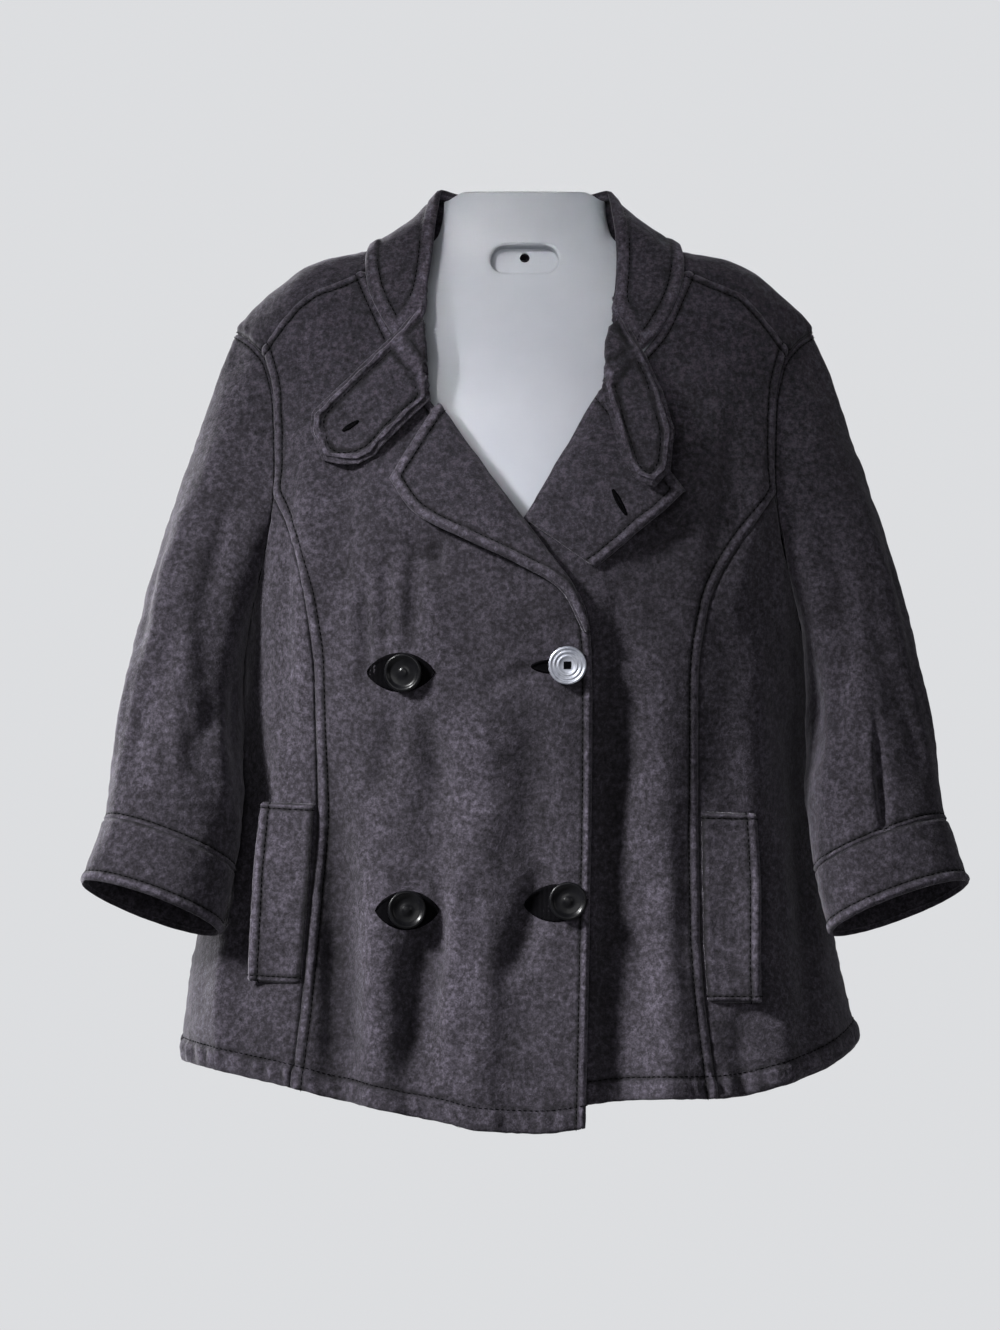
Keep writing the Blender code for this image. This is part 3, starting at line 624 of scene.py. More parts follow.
class Cloth:
    """One cut piece: its outer surface, its wall and the thread along its edges."""

    thickness = 2.0
    bulge = 0.8
    both_faces = False
    usual_stitch = 6.0
    thread_lift = 0.12
    # Share of the puckers' lift painted into the colour: crests lighter, hollows darker, as painted shading.
    pucker_wear = 0.3
    uneven_waves = ((0.35, 16, 5), (0.45, 41, 11))

    def __init__(
        self, name: str, grid: np.ndarray, finishing: Finishing, closed: bool = False, crumple: float = 1.0
    ) -> None:
        """Lay the sewing's relief on a surface.

        Args:
            name: The node that the piece stands for.
            grid: Its outer surface, as rows and columns with the normals out.
            finishing: Its edges.
            closed: True for a tube, whose last column meets the first.
            crumple: Strength of the small unevenness.
        """
        self.name = name
        self.closed = closed
        self.finishing = finishing
        self.area = float(self.measure(grid))
        self.width = float(runs_along(grid, 1)[:, -1].max())
        self.length = float(runs_along(grid, 0)[-1].max())
        self.distances = finishing.distances(grid)
        # Painted shading is summed beside the relief: grooves, seam dips and pucker hollows darker, worn rims
        # and pucker crests lighter.
        relief, self.wear = np.zeros(grid.shape[:2]), np.zeros(grid.shape[:2])
        for edge, distance in self.distances.items():
            if closed and edge in ("left", "right"):
                continue
            stitch = finishing.stitch.get(edge, self.usual_stitch)
            kind = getattr(finishing, edge)
            lift, wear = Sewing().lift(kind, distance, stitch)
            run = runs_along(grid, 1 if edge in ("low", "high") else 0)
            pucker = Sewing().pucker(kind, distance, run, stitch)
            relief += lift + pucker
            self.wear += wear + self.pucker_wear * pucker
        if finishing.around:
            border = finishing.border(grid)
            self.away = np.array(
                [np.linalg.norm(row[:, None] - border[None], axis=-1).min(axis=1) for row in grid]
            )
            lift, wear = Sewing().lift(Edge.FOLDED, self.away, finishing.around_stitch)
            relief, self.wear = relief + lift, self.wear + wear
        self.grid = grid
        self.relief = relief
        uneven = sum(strength * ripple(grid, length, seed) for strength, length, seed in self.uneven_waves)
        self.surface = grid + normals_of(grid, closed) * (relief + crumple * uneven)[..., None]

    @staticmethod
    def measure(grid: np.ndarray) -> float:
        """Give a grid's area."""
        across, up = np.diff(grid, axis=1)[:-1], np.diff(grid, axis=0)[:, :-1]
        return np.linalg.norm(np.cross(across, up), axis=-1).sum()

    def rub_and_paint_crease_shading(self, lift: np.ndarray) -> None:
        """Paint shade into the creases' troughs, and lighten their ridges as worn nap with a painted
        highlight.

        Args:
            lift: Lifts of the creases.
        """
        # Painted shade in troughs, lighter ridges.
        self.wear = self.wear + np.clip(0.055 * lift, -0.55, 0.3)

    def inner_surface(self) -> np.ndarray:
        """Give the wall's inner face.

        Returns:
            Points as rows and columns, opposite the outer ones.
        """
        depth = self.thickness + np.maximum(self.relief, -1.2)
        if self.both_faces:
            depth = depth + np.clip(self.relief, -0.5, 2.0)
        return self.surface - normals_of(self.surface, self.closed) * depth[..., None]

    def drape(self, x: np.ndarray, z: np.ndarray, inner: bool = False) -> np.ndarray:
        """Give points that lie on one face of the piece, seen from the front.

        Args:
            x: Places across.
            z: Heights.
            inner: True for the inner face.

        Returns:
            Points.
        """
        face = (self.inner_surface() if inner else self.surface).reshape(-1, 3)
        flat = np.stack([x.ravel(), z.ravel()], axis=-1)
        y = []
        for place in flat:
            away = ((face[:, (0, 2)] - place) ** 2).sum(axis=1)
            near = np.argpartition(away, 6)[:6]
            weight = 1 / (away[near] + 0.05)
            y.append((face[near, 1] * weight).sum() / weight.sum())
        return np.stack([x, np.array(y).reshape(x.shape), z], axis=-1)

    def thread_around(self, inner: bool = False) -> Thread:
        """Follow the stitching inside the rim that runs round several edges.

        Args:
            inner: True for the inner face.

        Returns:
            The run of stitches.
        """
        face, out = self.surface, normals_of(self.surface, self.closed)
        if inner:
            face, out = self.inner_surface(), -out
        near = np.abs(self.away - self.finishing.around_stitch) < 0.8
        base, spots, ups = self.grid[near], face[near], out[near]
        picks = [np.argmin(((base - b) ** 2).sum(axis=1)) for b in self.finishing.border(self.grid)]
        weights = np.ones(9) / 9
        runs = []
        for values in (spots[picks], ups[picks]):
            padded = np.pad(values, ((4, 4), (0, 0)), mode="edge")
            runs.append(np.stack([np.convolve(padded[:, k], weights, "valid") for k in range(3)], axis=-1))
        return Thread(runs[0] + runs[1] * self.thread_lift, runs[1])

    def thread(self, edge: str, inner: bool = False) -> Thread:
        """Follow the stitching beside one edge.

        Args:
            edge: The edge's name.
            inner: True for the inner face.

        Returns:
            The run of stitches.
        """
        away = self.finishing.stitch[edge]
        grid, out = self.surface, normals_of(self.surface, self.closed)
        if inner:
            grid, out = self.inner_surface(), -out
        distance = self.distances[edge]
        if edge in ("low", "high"):
            grid, out, distance = (np.swapaxes(a, 0, 1) for a in (grid, out, distance))
        if edge in ("right", "high"):
            grid, out, distance = grid[:, ::-1], out[:, ::-1], distance[:, ::-1]
        points, normals = [], []
        for row, up, run in zip(grid, out, distance):
            points.append([np.interp(away, run, row[:, k]) for k in range(3)])
            normals.append([np.interp(away, run, up[:, k]) for k in range(3)])
        points, normals = np.array(points), np.array(normals)
        if self.closed and edge in ("low", "high"):
            points = np.concatenate([points, points[:1]])
            normals = np.concatenate([normals, normals[:1]])
        return Thread(points + normals * self.thread_lift, normals)

    def build(self) -> bpy.types.Object:
        """Make the wall: the outer surface, an inner one and a rounded rim between.

        Returns:
            The piece's object.
        """
        outer = self.surface
        inner = self.inner_surface()
        rows, columns = outer.shape[:2]
        index = np.arange(rows * columns).reshape(rows, columns)
        around = np.roll(index, -1, axis=1) if self.closed else index[:, 1:]
        start = index if self.closed else index[:, :-1]
        quads = np.stack([start[:-1], around[:-1], around[1:], start[1:]], axis=-1).reshape(-1, 4)
        count = rows * columns
        faces = [quads, quads[:, ::-1] + count]
        points = [outer.reshape(-1, 3), inner.reshape(-1, 3)]
        total = 2 * count
        for loop, inward in self.rims(index):
            a, b = outer.reshape(-1, 3), inner.reshape(-1, 3)
            away = a[loop] - a[inward]
            away /= np.maximum(np.linalg.norm(away, axis=-1, keepdims=True), 1e-9)
            points.append((a[loop] + b[loop]) / 2 + away * self.bulge)
            middle = np.arange(total, total + len(loop))
            total += len(loop)
            after, beyond = np.roll(loop, -1), np.roll(middle, -1)
            faces.append(np.stack([after, loop, middle, beyond], axis=-1))
            faces.append(np.stack([beyond, middle, loop + count, after + count], axis=-1))
        made = mesh_object(self.name + "_cloth", np.concatenate(points), np.concatenate(faces))
        # The mesh keeps the worn look and the painted shading as a point attribute that the fleece reads.
        wear = np.zeros(total)
        wear[:count] = np.clip(self.wear, -1, 1).ravel()
        if self.both_faces:
            wear[count : 2 * count] = wear[:count]
        made.data.attributes.new("wear", "FLOAT", "POINT").data.foreach_set("value", wear)
        return made

    def rims(self, index: np.ndarray) -> list[tuple[np.ndarray, np.ndarray]]:
        """List the loops of the wall's edge, each with the points just inside it.

        Args:
            index: Point numbers as rows and columns.

        Returns:
            Pairs of loops, in the order that keeps the faces pointing out.
        """
        if self.closed:
            return [(index[0], index[1]), (index[-1][::-1], index[-2][::-1])]
        inside = np.pad(index[1:-1, 1:-1], 1, mode="edge")

        def loop(grid: np.ndarray) -> np.ndarray:
            """Walk round a grid's border."""
            return np.concatenate([grid[0, :-1], grid[:-1, -1], grid[-1, :0:-1], grid[:0:-1, 0]])

        return [(loop(index), loop(inside))]


def mesh_object(name: str, points: np.ndarray, faces: np.ndarray) -> bpy.types.Object:
    """Make a smooth object from points in millimetres.

    Args:
        name: The object's name.
        points: Points.
        faces: Point numbers of each face.

    Returns:
        The object, linked to the scene.
    """
    mesh = bpy.data.meshes.new(name)
    mesh.from_pydata((points * MM).tolist(), [], faces.tolist())
    mesh.shade_smooth()
    made = bpy.data.objects.new(name, mesh)
    bpy.context.scene.collection.objects.link(made)
    return made


@dataclass(frozen=True)
class FrontLines:
    """The lines that bound one side's centre front and side front, as x and z."""

    edge: tuple
    princess: tuple
    hem: tuple
    creases: tuple = ()


RIGHT_LINES = FrontLines(
    edge=(
        (41, -602), (44, -450), (45.5, -330), (45, -282), (42, -255), (34, -236), (21, -218), (-1, -189),
        (-33, -147), (-65, -108), (-80, -84), (-91, -62), (-103, -36), (-111, -17),
    ),
    princess=(
        (-160, -576), (-153, -518), (-147, -450), (-143, -382), (-143, -300), (-147, -255),
        (-156, -215), (-173, -172),
    ),
    hem=((-240, -560), (-160, -576), (-99, -590), (-58, -598), (-31, -604), (10, -606), (44, -602)),
    creases=(
        Crease(-129, -335, -125, -610, 14, -10.0, 0.4),
        Crease(-101, -415, -99, -600, 11, 4.5),
        Crease(-66, -448, -77, -585, 12, -8.5),
        Crease(-44, -400, -56, -600, 9, 4.5),
        Crease(-57, -420, -55, -505, 4.5, -3.2),
        Crease(14, -424, -14, -510, 9, -5.0),
        Crease(-24, -430, -36, -625, 14, 4.0),
        Crease(-110, -222, -108, -310, 4.6, -4.6),
        Crease(-95, -206, -95, -288, 4.6, -4.2),
        Crease(-74, -200, -78, -286, 6, -4.6),
        # These two troughs run below the lapel; the painted shade in them stands in for the lapel's shadow.
        Crease(-60, -188, -30, -300, 10, -5.0),
        Crease(-96, -199, 16, -250, 9, -6.5),
        Crease(14, -291, -34, -304, 6, -2.4),
        Crease(-86, -308, -104, -392, 8, -3.2),
        Crease(-70, -310, -54, -385, 7, -2.4),
        Crease(-32, -300, -30, -450, 22, 4.0),
        Crease(-60, -318, -62, -440, 12, -3.6),
        Crease(2, -310, 6, -440, 12, -3.2),
        Crease(-120, -120, -124, -270, 9, -3.2),
        Crease(-146, -105, -152, -370, 10, 4.5),
        Crease(-180, -290, -196, -560, 11, -5.0),
        Crease(-204, -470, -212, -580, 9, 3.5),
    ),
)
LEFT_LINES = FrontLines(
    edge=(
        (-50, -588), (-52, -450), (-52, -330), (-48, -276), (-38, -246), (-23, -219), (-2, -189),
        (26, -142), (53, -99), (74, -82), (91, -62), (103, -36), (111, -17),
    ),
    princess=(
        (132, -583), (124, -525), (120, -470), (119, -382), (119, -300), (126, -252), (142, -215),
        (173, -172),
    ),
    hem=((-60, -588), (44, -586), (79, -583), (133, -583), (188, -572), (215, -561), (240, -546)),
    creases=(
        # Trough beside the covering front's edge; the painted shade in it stands in for that edge's shadow.
        Crease(63, -215, 58, -640, 14, -8.0),
        Crease(92, -290, 97, -600, 15, 3.6),
        Crease(104, -95, 92, -280, 20, -5.5),
        Crease(150, -95, 124, -270, 9, -3.6, 0.4),
        Crease(168, -140, 138, -275, 7, 2.8),
        Crease(154, -240, 156, -430, 13, 5.0),
        Crease(184, -290, 196, -550, 9, -5.0),
        Crease(146, -520, 152, -610, 8, -3.6),
        Crease(172, -500, 182, -600, 9, 3.6),
        Crease(72, -300, 66, -420, 10, -3.0),
        Crease(110, -380, 106, -520, 7, -2.2),
    ),
)
SHOULDER_SEAM = ((111, -17), (133, -26), (149, -33), (163, -46), (176, -63), (183, -73.3))


class Fronts:
    """The two centre fronts and the two side fronts."""

    seam_share = 14 / 18
    shallow = -4.4
    tucked = 1.2

    def __init__(self, torso: Torso) -> None:
        """Keep the body they lie on.

        Args:
            torso: The body.
        """
        self.torso = torso
        self.seam_top = Track(*zip(*SHOULDER_SEAM))

    def lines(self, side: Side) -> FrontLines:
        """Give one side's lines."""
        return RIGHT_LINES if side is Side.RIGHT else LEFT_LINES

    def place(self, side: Side, x: np.ndarray, z: np.ndarray) -> np.ndarray:
        """Give points of a front with its creases.

        Args:
            side: The side it belongs to.
            x: Places across.
            z: Heights.

        Returns:
            Points.
        """
        lift = self.creased(side, x, z)
        if side is Side.LEFT:
            lift = lift + self.torso.under(x, z)
        return self.torso.on_front(x, z, lift)

    def creased(self, side: Side, x: np.ndarray, z: np.ndarray) -> np.ndarray:
        """Give the lifts of a front's creases.

        Args:
            side: The side it belongs to.
            x: Places across.
            z: Heights.

        Returns:
            Lifts, under nought in a trough.
        """
        lift = sum((crease.lift(x, z) for crease in self.lines(side).creases), np.zeros_like(x))
        if side is Side.LEFT:
            return np.where(x < 46, np.minimum(lift, 0.5), lift)
        floor = np.where(z > -300, 0.45, 1.0) * self.shallow
        return np.maximum(lift, floor - 30 * ease(-54, -68, x))

    def made(self, name: str, side: Side, flat: tuple, finishing: Finishing) -> Cloth:
        """Make a piece from its flat places.

        Args:
            name: The piece's name without its side.
            side: The side it belongs to.
            flat: Its places across and its heights.
            finishing: Its edges.

        Returns:
            The piece.
        """
        grid, lift = self.place(side, *flat), self.creased(side, *flat)
        if side is Side.RIGHT:
            grid, lift = grid[:, ::-1], lift[:, ::-1]
        piece = Cloth(f"{name}_{side.word}", grid, finishing)
        # Painted shade in the crease troughs, lighter ridges.
        piece.rub_and_paint_crease_shading(lift)
        return piece

    def armhole(self, side: Side, turn: np.ndarray) -> np.ndarray:
        """Give points of the armhole's front edge at angles from the shoulder's tip."""
        x, z = self.torso.armhole(turn, False)
        return np.stack([side.value * x, z], axis=-1)

    def hem(self, side: Side, x_from: float, x_to: float, s: np.ndarray) -> np.ndarray:
        """Give the hem between two places.

        Args:
            side: The side it belongs to.
            x_from: Where it starts.
            x_to: Where it ends.
            s: Shares between.

        Returns:
            Points as x and z.
        """
        x = x_from + (x_to - x_from) * s
        return np.stack([x, Track(*zip(*self.lines(side).hem))(x)], axis=-1)

    def centre(self, side: Side) -> Cloth:
        """Make a centre front.

        Args:
            side: The side it belongs to.

        Returns:
            The piece.
        """
        lines, princess = self.lines(side), Path(self.lines(side).princess)
        s, t = stations(190), stations(590, coarse=3.0)
        up = np.minimum(t / self.seam_share, 1)
        turn = math.pi / 2 - np.maximum(t - self.seam_share, 0) / (1 - self.seam_share) * math.pi / 3
        seam = t[:, None] <= self.seam_share
        outer = np.where(seam, princess(up), self.armhole(side, turn))
        across = 111 + (abs(outer[-1, 0]) - 111) * s
        curves = {
            "low": self.hem(side, lines.edge[0][0], outer[0, 0], s),
            "high": np.stack([side.value * across, self.seam_top(across)], axis=-1),
            "inner": Path(lines.edge)(t),
            "outer": outer,
        }
        curves["inner"][0], curves["outer"][-1] = curves["low"][0], curves["high"][-1]
        inner, outer_edge = ("right", "left") if side is Side.RIGHT else ("left", "right")
        finishing = Finishing(
            low=Edge.HEM,
            high=Edge.STITCHED_SEAM,
            stitch={"low": 15.0, "high": 7.0, inner: 6.5, outer_edge: 8.0},
        )
        setattr(finishing, inner, Edge.FOLDED)
        setattr(finishing, outer_edge, Edge.STITCHED_SEAM)
        return self.made("front", side, patch(self.torso, curves, s, t), finishing)

    def flank(self, side: Side) -> Cloth:
        """Make a side front.

        Args:
            side: The side it belongs to.

        Returns:
            The piece.
        """
        torso, princess = self.torso, Path(self.lines(side).princess)
        s, t = stations(130), stations(370)
        inner = princess(t) - np.array([side.value * self.tucked, 0.0])
        hem = self.lines(side).hem
        foot = hem[-1][1] if side is Side.LEFT else hem[0][1]
        z = foot + (torso.armpit_z - foot) * t
        outer = np.stack([side.value * torso.half_width(side.value, z), z], axis=-1)
        curves = {
            "low": self.hem(side, inner[0, 0], outer[0, 0], s),
            "high": self.armhole(side, math.pi / 2 * (1 + s)),
            "inner": inner,
            "outer": outer,
        }
        finishing = Finishing(low=Edge.HEM, stitch={"low": 15.0})
        return self.made("side_front", side, patch(torso, curves, s, t), finishing)

    def pieces(self) -> list[Cloth]:
        """Make all four."""
        return [make(side) for make in (self.centre, self.flank) for side in Side]


class Back:
    """The back, in one piece from the hem over the shoulders to the seams on the front."""

    hem = ((-240, -556), (-120, -552), (0, -550), (120, -549), (240, -545))
    neck = ((0, 64), (60, 68), (95, 76), (104, 90), (110, 128))
    spread = 0.958
    seam_hold = 24.0
    creases = (
        Crease(-172, -190, -58, -318, 12, -3.4),
        Crease(-168, -236, -84, -402, 11, 2.8),
        Crease(164, -206, 66, -300, 11, -3.0),
        Crease(160, -252, 92, -446, 12, 3.0),
        Crease(-62, -66, 48, -84, 9, -2.4),
        Crease(-20, -112, 66, -128, 12, 1.8),
        Crease(-92, -410, -66, -600, 12, -4.0),
        Crease(-22, -350, 16, -610, 15, 3.2),
        Crease(50, -400, 76, -610, 11, -4.2),
        Crease(108, -450, 130, -600, 9, 2.8),
        Crease(-146, -400, -170, -600, 11, 3.2),
        Crease(-190, -330, -120, -372, 8, -2.2),
        Crease(186, -352, 128, -386, 8, -2.4),
    )

    def __init__(self, torso: Torso) -> None:
        """Keep the body and fit the edges.

        Args:
            torso: The body.
        """
        self.torso = torso
        self.hem_at = Track(*zip(*self.hem))
        self.neck_at = Track(*zip(*self.neck))
        self.seam_at = Track(*zip(*SHOULDER_SEAM))

    def top(self, x: np.ndarray) -> np.ndarray:
        """Give the run at which the back ends.

        Args:
            x: Places across.

        Returns:
            Runs, to the neck or to the shoulder's seam.
        """
        across = np.abs(x)
        neck = self.torso.roll * np.radians(self.neck_at(across))
        return np.where(across < 110, neck, self.torso.run_at(x, self.seam_at(across), False))

    def side_edge(self, sign: int, v: np.ndarray) -> tuple[np.ndarray, np.ndarray]:
        """Give a side edge: the side seam, then the armhole, then the shoulder's front.

        Args:
            sign: The sign of X.
            v: Shares of the way up.

        Returns:
            Places across, and runs.
        """
        torso = self.torso
        z = np.linspace(float(self.hem_at(sign * 236)), torso.armpit_z, 80)
        x = sign * torso.half_width(sign, z)
        runs = torso.run_at(x, z, True)
        for behind, turn in ((True, np.linspace(math.pi, 0, 120)), (False, np.linspace(0, math.pi / 6, 30))):
            across, height = torso.armhole(turn[1:], behind)
            x = np.concatenate([x, sign * across])
            runs = np.concatenate([runs, torso.run_at(sign * across, height, behind)])
        share = (runs - runs[0]) / (runs[-1] - runs[0])
        return np.interp(v, share, x), np.interp(v, share, runs)

    def pieces(self) -> list[Cloth]:
        """Make the back.

        Returns:
            The piece, in a list.
        """
        torso = self.torso
        v, share = stations(640), 1 - 2 * stations(520)
        across = np.copysign(np.sin(math.pi / 2 * np.abs(share) ** self.spread), share)
        edges = {sign: self.side_edge(sign, v) for sign in (-1, 1)}
        edge_x = np.where(across > 0, edges[1][0][:, None], edges[-1][0][:, None])
        edge_run = np.where(across > 0, edges[1][1][:, None], edges[-1][1][:, None])
        x = np.abs(across) * edge_x
        foot = torso.run_at(x, self.hem_at(x), True)
        hold = across**4
        run = (foot + (self.top(x) - foot) * v[:, None]) * (1 - hold) + edge_run * hold
        finishing = Finishing(low=Edge.HEM, high=Edge.SEAM, stitch={"low": 15.0})
        grid = torso.on_back(x, run)
        away = finishing.distances(grid)
        hold = ease(0, self.seam_hold, np.minimum(np.minimum(away["left"], away["right"]), away["high"]))
        lift = sum(crease.lift(x, grid[..., 2]) for crease in self.creases) * hold
        lift = lift * (run < torso.roll * math.pi / 2)
        made = Cloth("back", grid + normals_of(grid) * lift[..., None], finishing)
        # Painted shade in the back's crease troughs, twice as strong, and lighter ridges.
        made.rub_and_paint_crease_shading(2 * lift)
        return [made]


@dataclass(frozen=True)
class SleeveFold:
    """A fold of the sleeve: where it is round and along it, how it leans and its sizes."""

    turn: float
    along: float
    lean: float
    width: float
    length: float
    depth: float

    def lift(self, turn: np.ndarray, along: np.ndarray) -> np.ndarray:
        """Give how far it lifts the cloth.

        Args:
            turn: Angles round the sleeve in radians.
            along: Shares of the sleeve's length.

        Returns:
            Lifts, under nought in a trough.
        """
        middle = self.turn + self.lean * (along - self.along) * 4
        gap = (np.degrees(turn) - middle + 180) % 360 - 180
        return self.depth * bump(gap, self.width) * bump((along - self.along) * 2, self.length)


class Sleeves:
    """The two sleeves and their turned cuffs."""

    columns = 150
    tucked = 1.6
    sleeve = (
        (0.0, 200, -58, 196, -286, 6, 40, 0),
        (0.12, 214, -94, 195, -300, 2, 40, 1),
        (0.25, 230, -144, 193.5, -314, -5, 41, 3),
        (0.4, 247, -198, 192.5, -332, -16, 41, 5),
        (0.55, 261, -246, 193, -353, -26, 39, 6),
        (0.7, 272, -298, 192, -378, -35, 36, 7),
        (0.85, 280, -350, 194, -403, -42, 33, 8),
        (1.0, 287.6, -397, 198, -431, -47.2, 31, 9),
    )
    cuff = (
        (0.0, 288.5, -394.5, 197.5, -429, -47.5, 32.5, 9),
        (0.5, 295.5, -416, 202, -450, -49.5, 32.5, 9.5),
        (1.0, 303, -438, 208, -472, -51, 32, 10),
    )
    folds = (
        SleeveFold(62, 0.62, -14, 13, 0.34, -5),
        SleeveFold(98, 0.45, 18, 15, 0.30, -4.5),
        SleeveFold(128, 0.70, 10, 14, 0.24, 4),
        SleeveFold(36, 0.30, -8, 16, 0.30, 3),
        SleeveFold(228, 0.50, 14, 16, 0.32, -4.5),
        SleeveFold(286, 0.62, -12, 15, 0.30, -4),
    )
    creases = (
        SleeveFold(74, 0.33, 22, 10, 0.26, -3.6),
        SleeveFold(112, 0.62, -20, 9, 0.22, -3.4),
        SleeveFold(84, 0.74, 12, 9, 0.20, 2.8),
        SleeveFold(44, 0.80, -10, 9, 0.22, -3.2),
        SleeveFold(140, 0.45, 10, 11, 0.30, -3.0),
        SleeveFold(20, 0.52, 8, 10, 0.30, -3.0),
        SleeveFold(8, 0.78, -14, 9, 0.20, 2.6),
        SleeveFold(256, 0.36, 16, 10, 0.26, -3.4),
        SleeveFold(312, 0.40, -16, 11, 0.26, -3.2),
        SleeveFold(204, 0.74, 12, 9, 0.22, 2.8),
    )
    tuck = SleeveFold(84, 0.86, 5, 4.4, 0.34, -7.5)

    def __init__(self, torso: Torso) -> None:
        """Keep the body they are sewn to.

        Args:
            torso: The body.
        """
        self.torso = torso

    def ring(self, table: tuple, share: np.ndarray, turn: np.ndarray) -> np.ndarray:
        """Give points round a table's sections.

        Args:
            table: Rows of a share, the outer and inner ends, the depth and the tilt.
            share: Shares of the length, as a column.
            turn: Angles round, as a row.

        Returns:
            Points of the sleeve on the positive side.
        """
        places = [row[0] for row in table]
        at = [Track(places, [row[k] for row in table])(share) for k in range(1, 8)]
        outer_x, outer_z, inner_x, inner_z, y, half_depth, tilt = at
        c, s = np.cos(turn), np.sin(turn)
        x = (outer_x + inner_x) / 2 + (outer_x - inner_x) / 2 * c
        z = (outer_z + inner_z) / 2 + (outer_z - inner_z) / 2 * c + s * tilt
        return np.stack(np.broadcast_arrays(x, y - s * half_depth, z), axis=-1)

    def head(self, turn: np.ndarray) -> np.ndarray:
        """Give the armhole's points, to which the sleeve's head is sewn.

        Args:
            turn: Angles round from the shoulder's tip.

        Returns:
            Points on the positive side.
        """
        x, z = self.torso.armhole(turn, False)
        behind = turn > math.pi
        x = np.where(behind, self.torso.armhole(turn, True)[0], x)
        y = self.torso.depth(x, z, behind)
        y = y + self.tucked * np.sin(turn)
        z = z - self.tucked * np.cos(turn)
        return np.stack([x - self.tucked, y, z], axis=-1)

    def upper(self, side: Side) -> Cloth:
        """Make a sleeve.

        Args:
            side: The side it belongs to.

        Returns:
            The piece.
        """
        turn = np.linspace(0, 2 * math.pi, self.columns, endpoint=False)[None]
        share = stations(340, coarse=3.0)[:, None]
        grid = self.ring(self.sleeve, share, turn)
        flat = self.ring(self.sleeve, np.zeros((1, 1)), turn)
        grid = grid + (self.head(turn) - flat) * (1 - ease(0, 0.5, share))[..., None]
        lift = sum(fold.lift(turn, share) for fold in self.folds + self.creases)
        lift = lift * ease(0.05, 0.25, share) * (1 - ease(0.85, 1, share))
        if side is Side.LEFT:
            lift = lift + self.tuck.lift(turn, share) * (1 - ease(0.97, 1, share))
        out = np.stack(np.broadcast_arrays(0.8 * np.cos(turn), -np.sin(turn), 0 * turn), axis=-1)
        out = out / np.linalg.norm(out, axis=-1, keepdims=True)
        grid = grid + out * lift[..., None]
        finishing = Finishing(low=Edge.STITCHED_SEAM, high=Edge.STITCHED_SEAM, stitch={"low": 4, "high": 5})
        return self.finish(f"sleeve_{side.word}", grid, side, finishing)

    def band(self, side: Side) -> Cloth:
        """Make a cuff.

        Args:
            side: The side it belongs to.

        Returns:
            The piece.
        """
        turn = np.linspace(0, 2 * math.pi, self.columns, endpoint=False)[None]
        grid = self.ring(self.cuff, stations(50, coarse=2.0)[:, None], turn)
        finishing = Finishing(low=Edge.SEAM, high=Edge.FOLDED, stitch={"high": 7.0})
        return self.finish(f"cuff_{side.word}", grid, side, finishing)

    def finish(self, name: str, grid: np.ndarray, side: Side, finishing: Finishing) -> Cloth:
        """Put a tube on its side, with its faces out.

        Args:
            name: The piece's name.
            grid: Points on the positive side.
            side: The side it belongs to.
            finishing: Its edges.

        Returns:
            The piece.
        """
        if side is Side.RIGHT:
            grid = grid[:, ::-1] * np.array([-1.0, 1.0, 1.0])
        return Cloth(name, grid, finishing, closed=True)

    def pieces(self) -> list[Cloth]:
        """Make both sleeves and both cuffs."""
        return [make(side) for make in (self.upper, self.band) for side in Side]


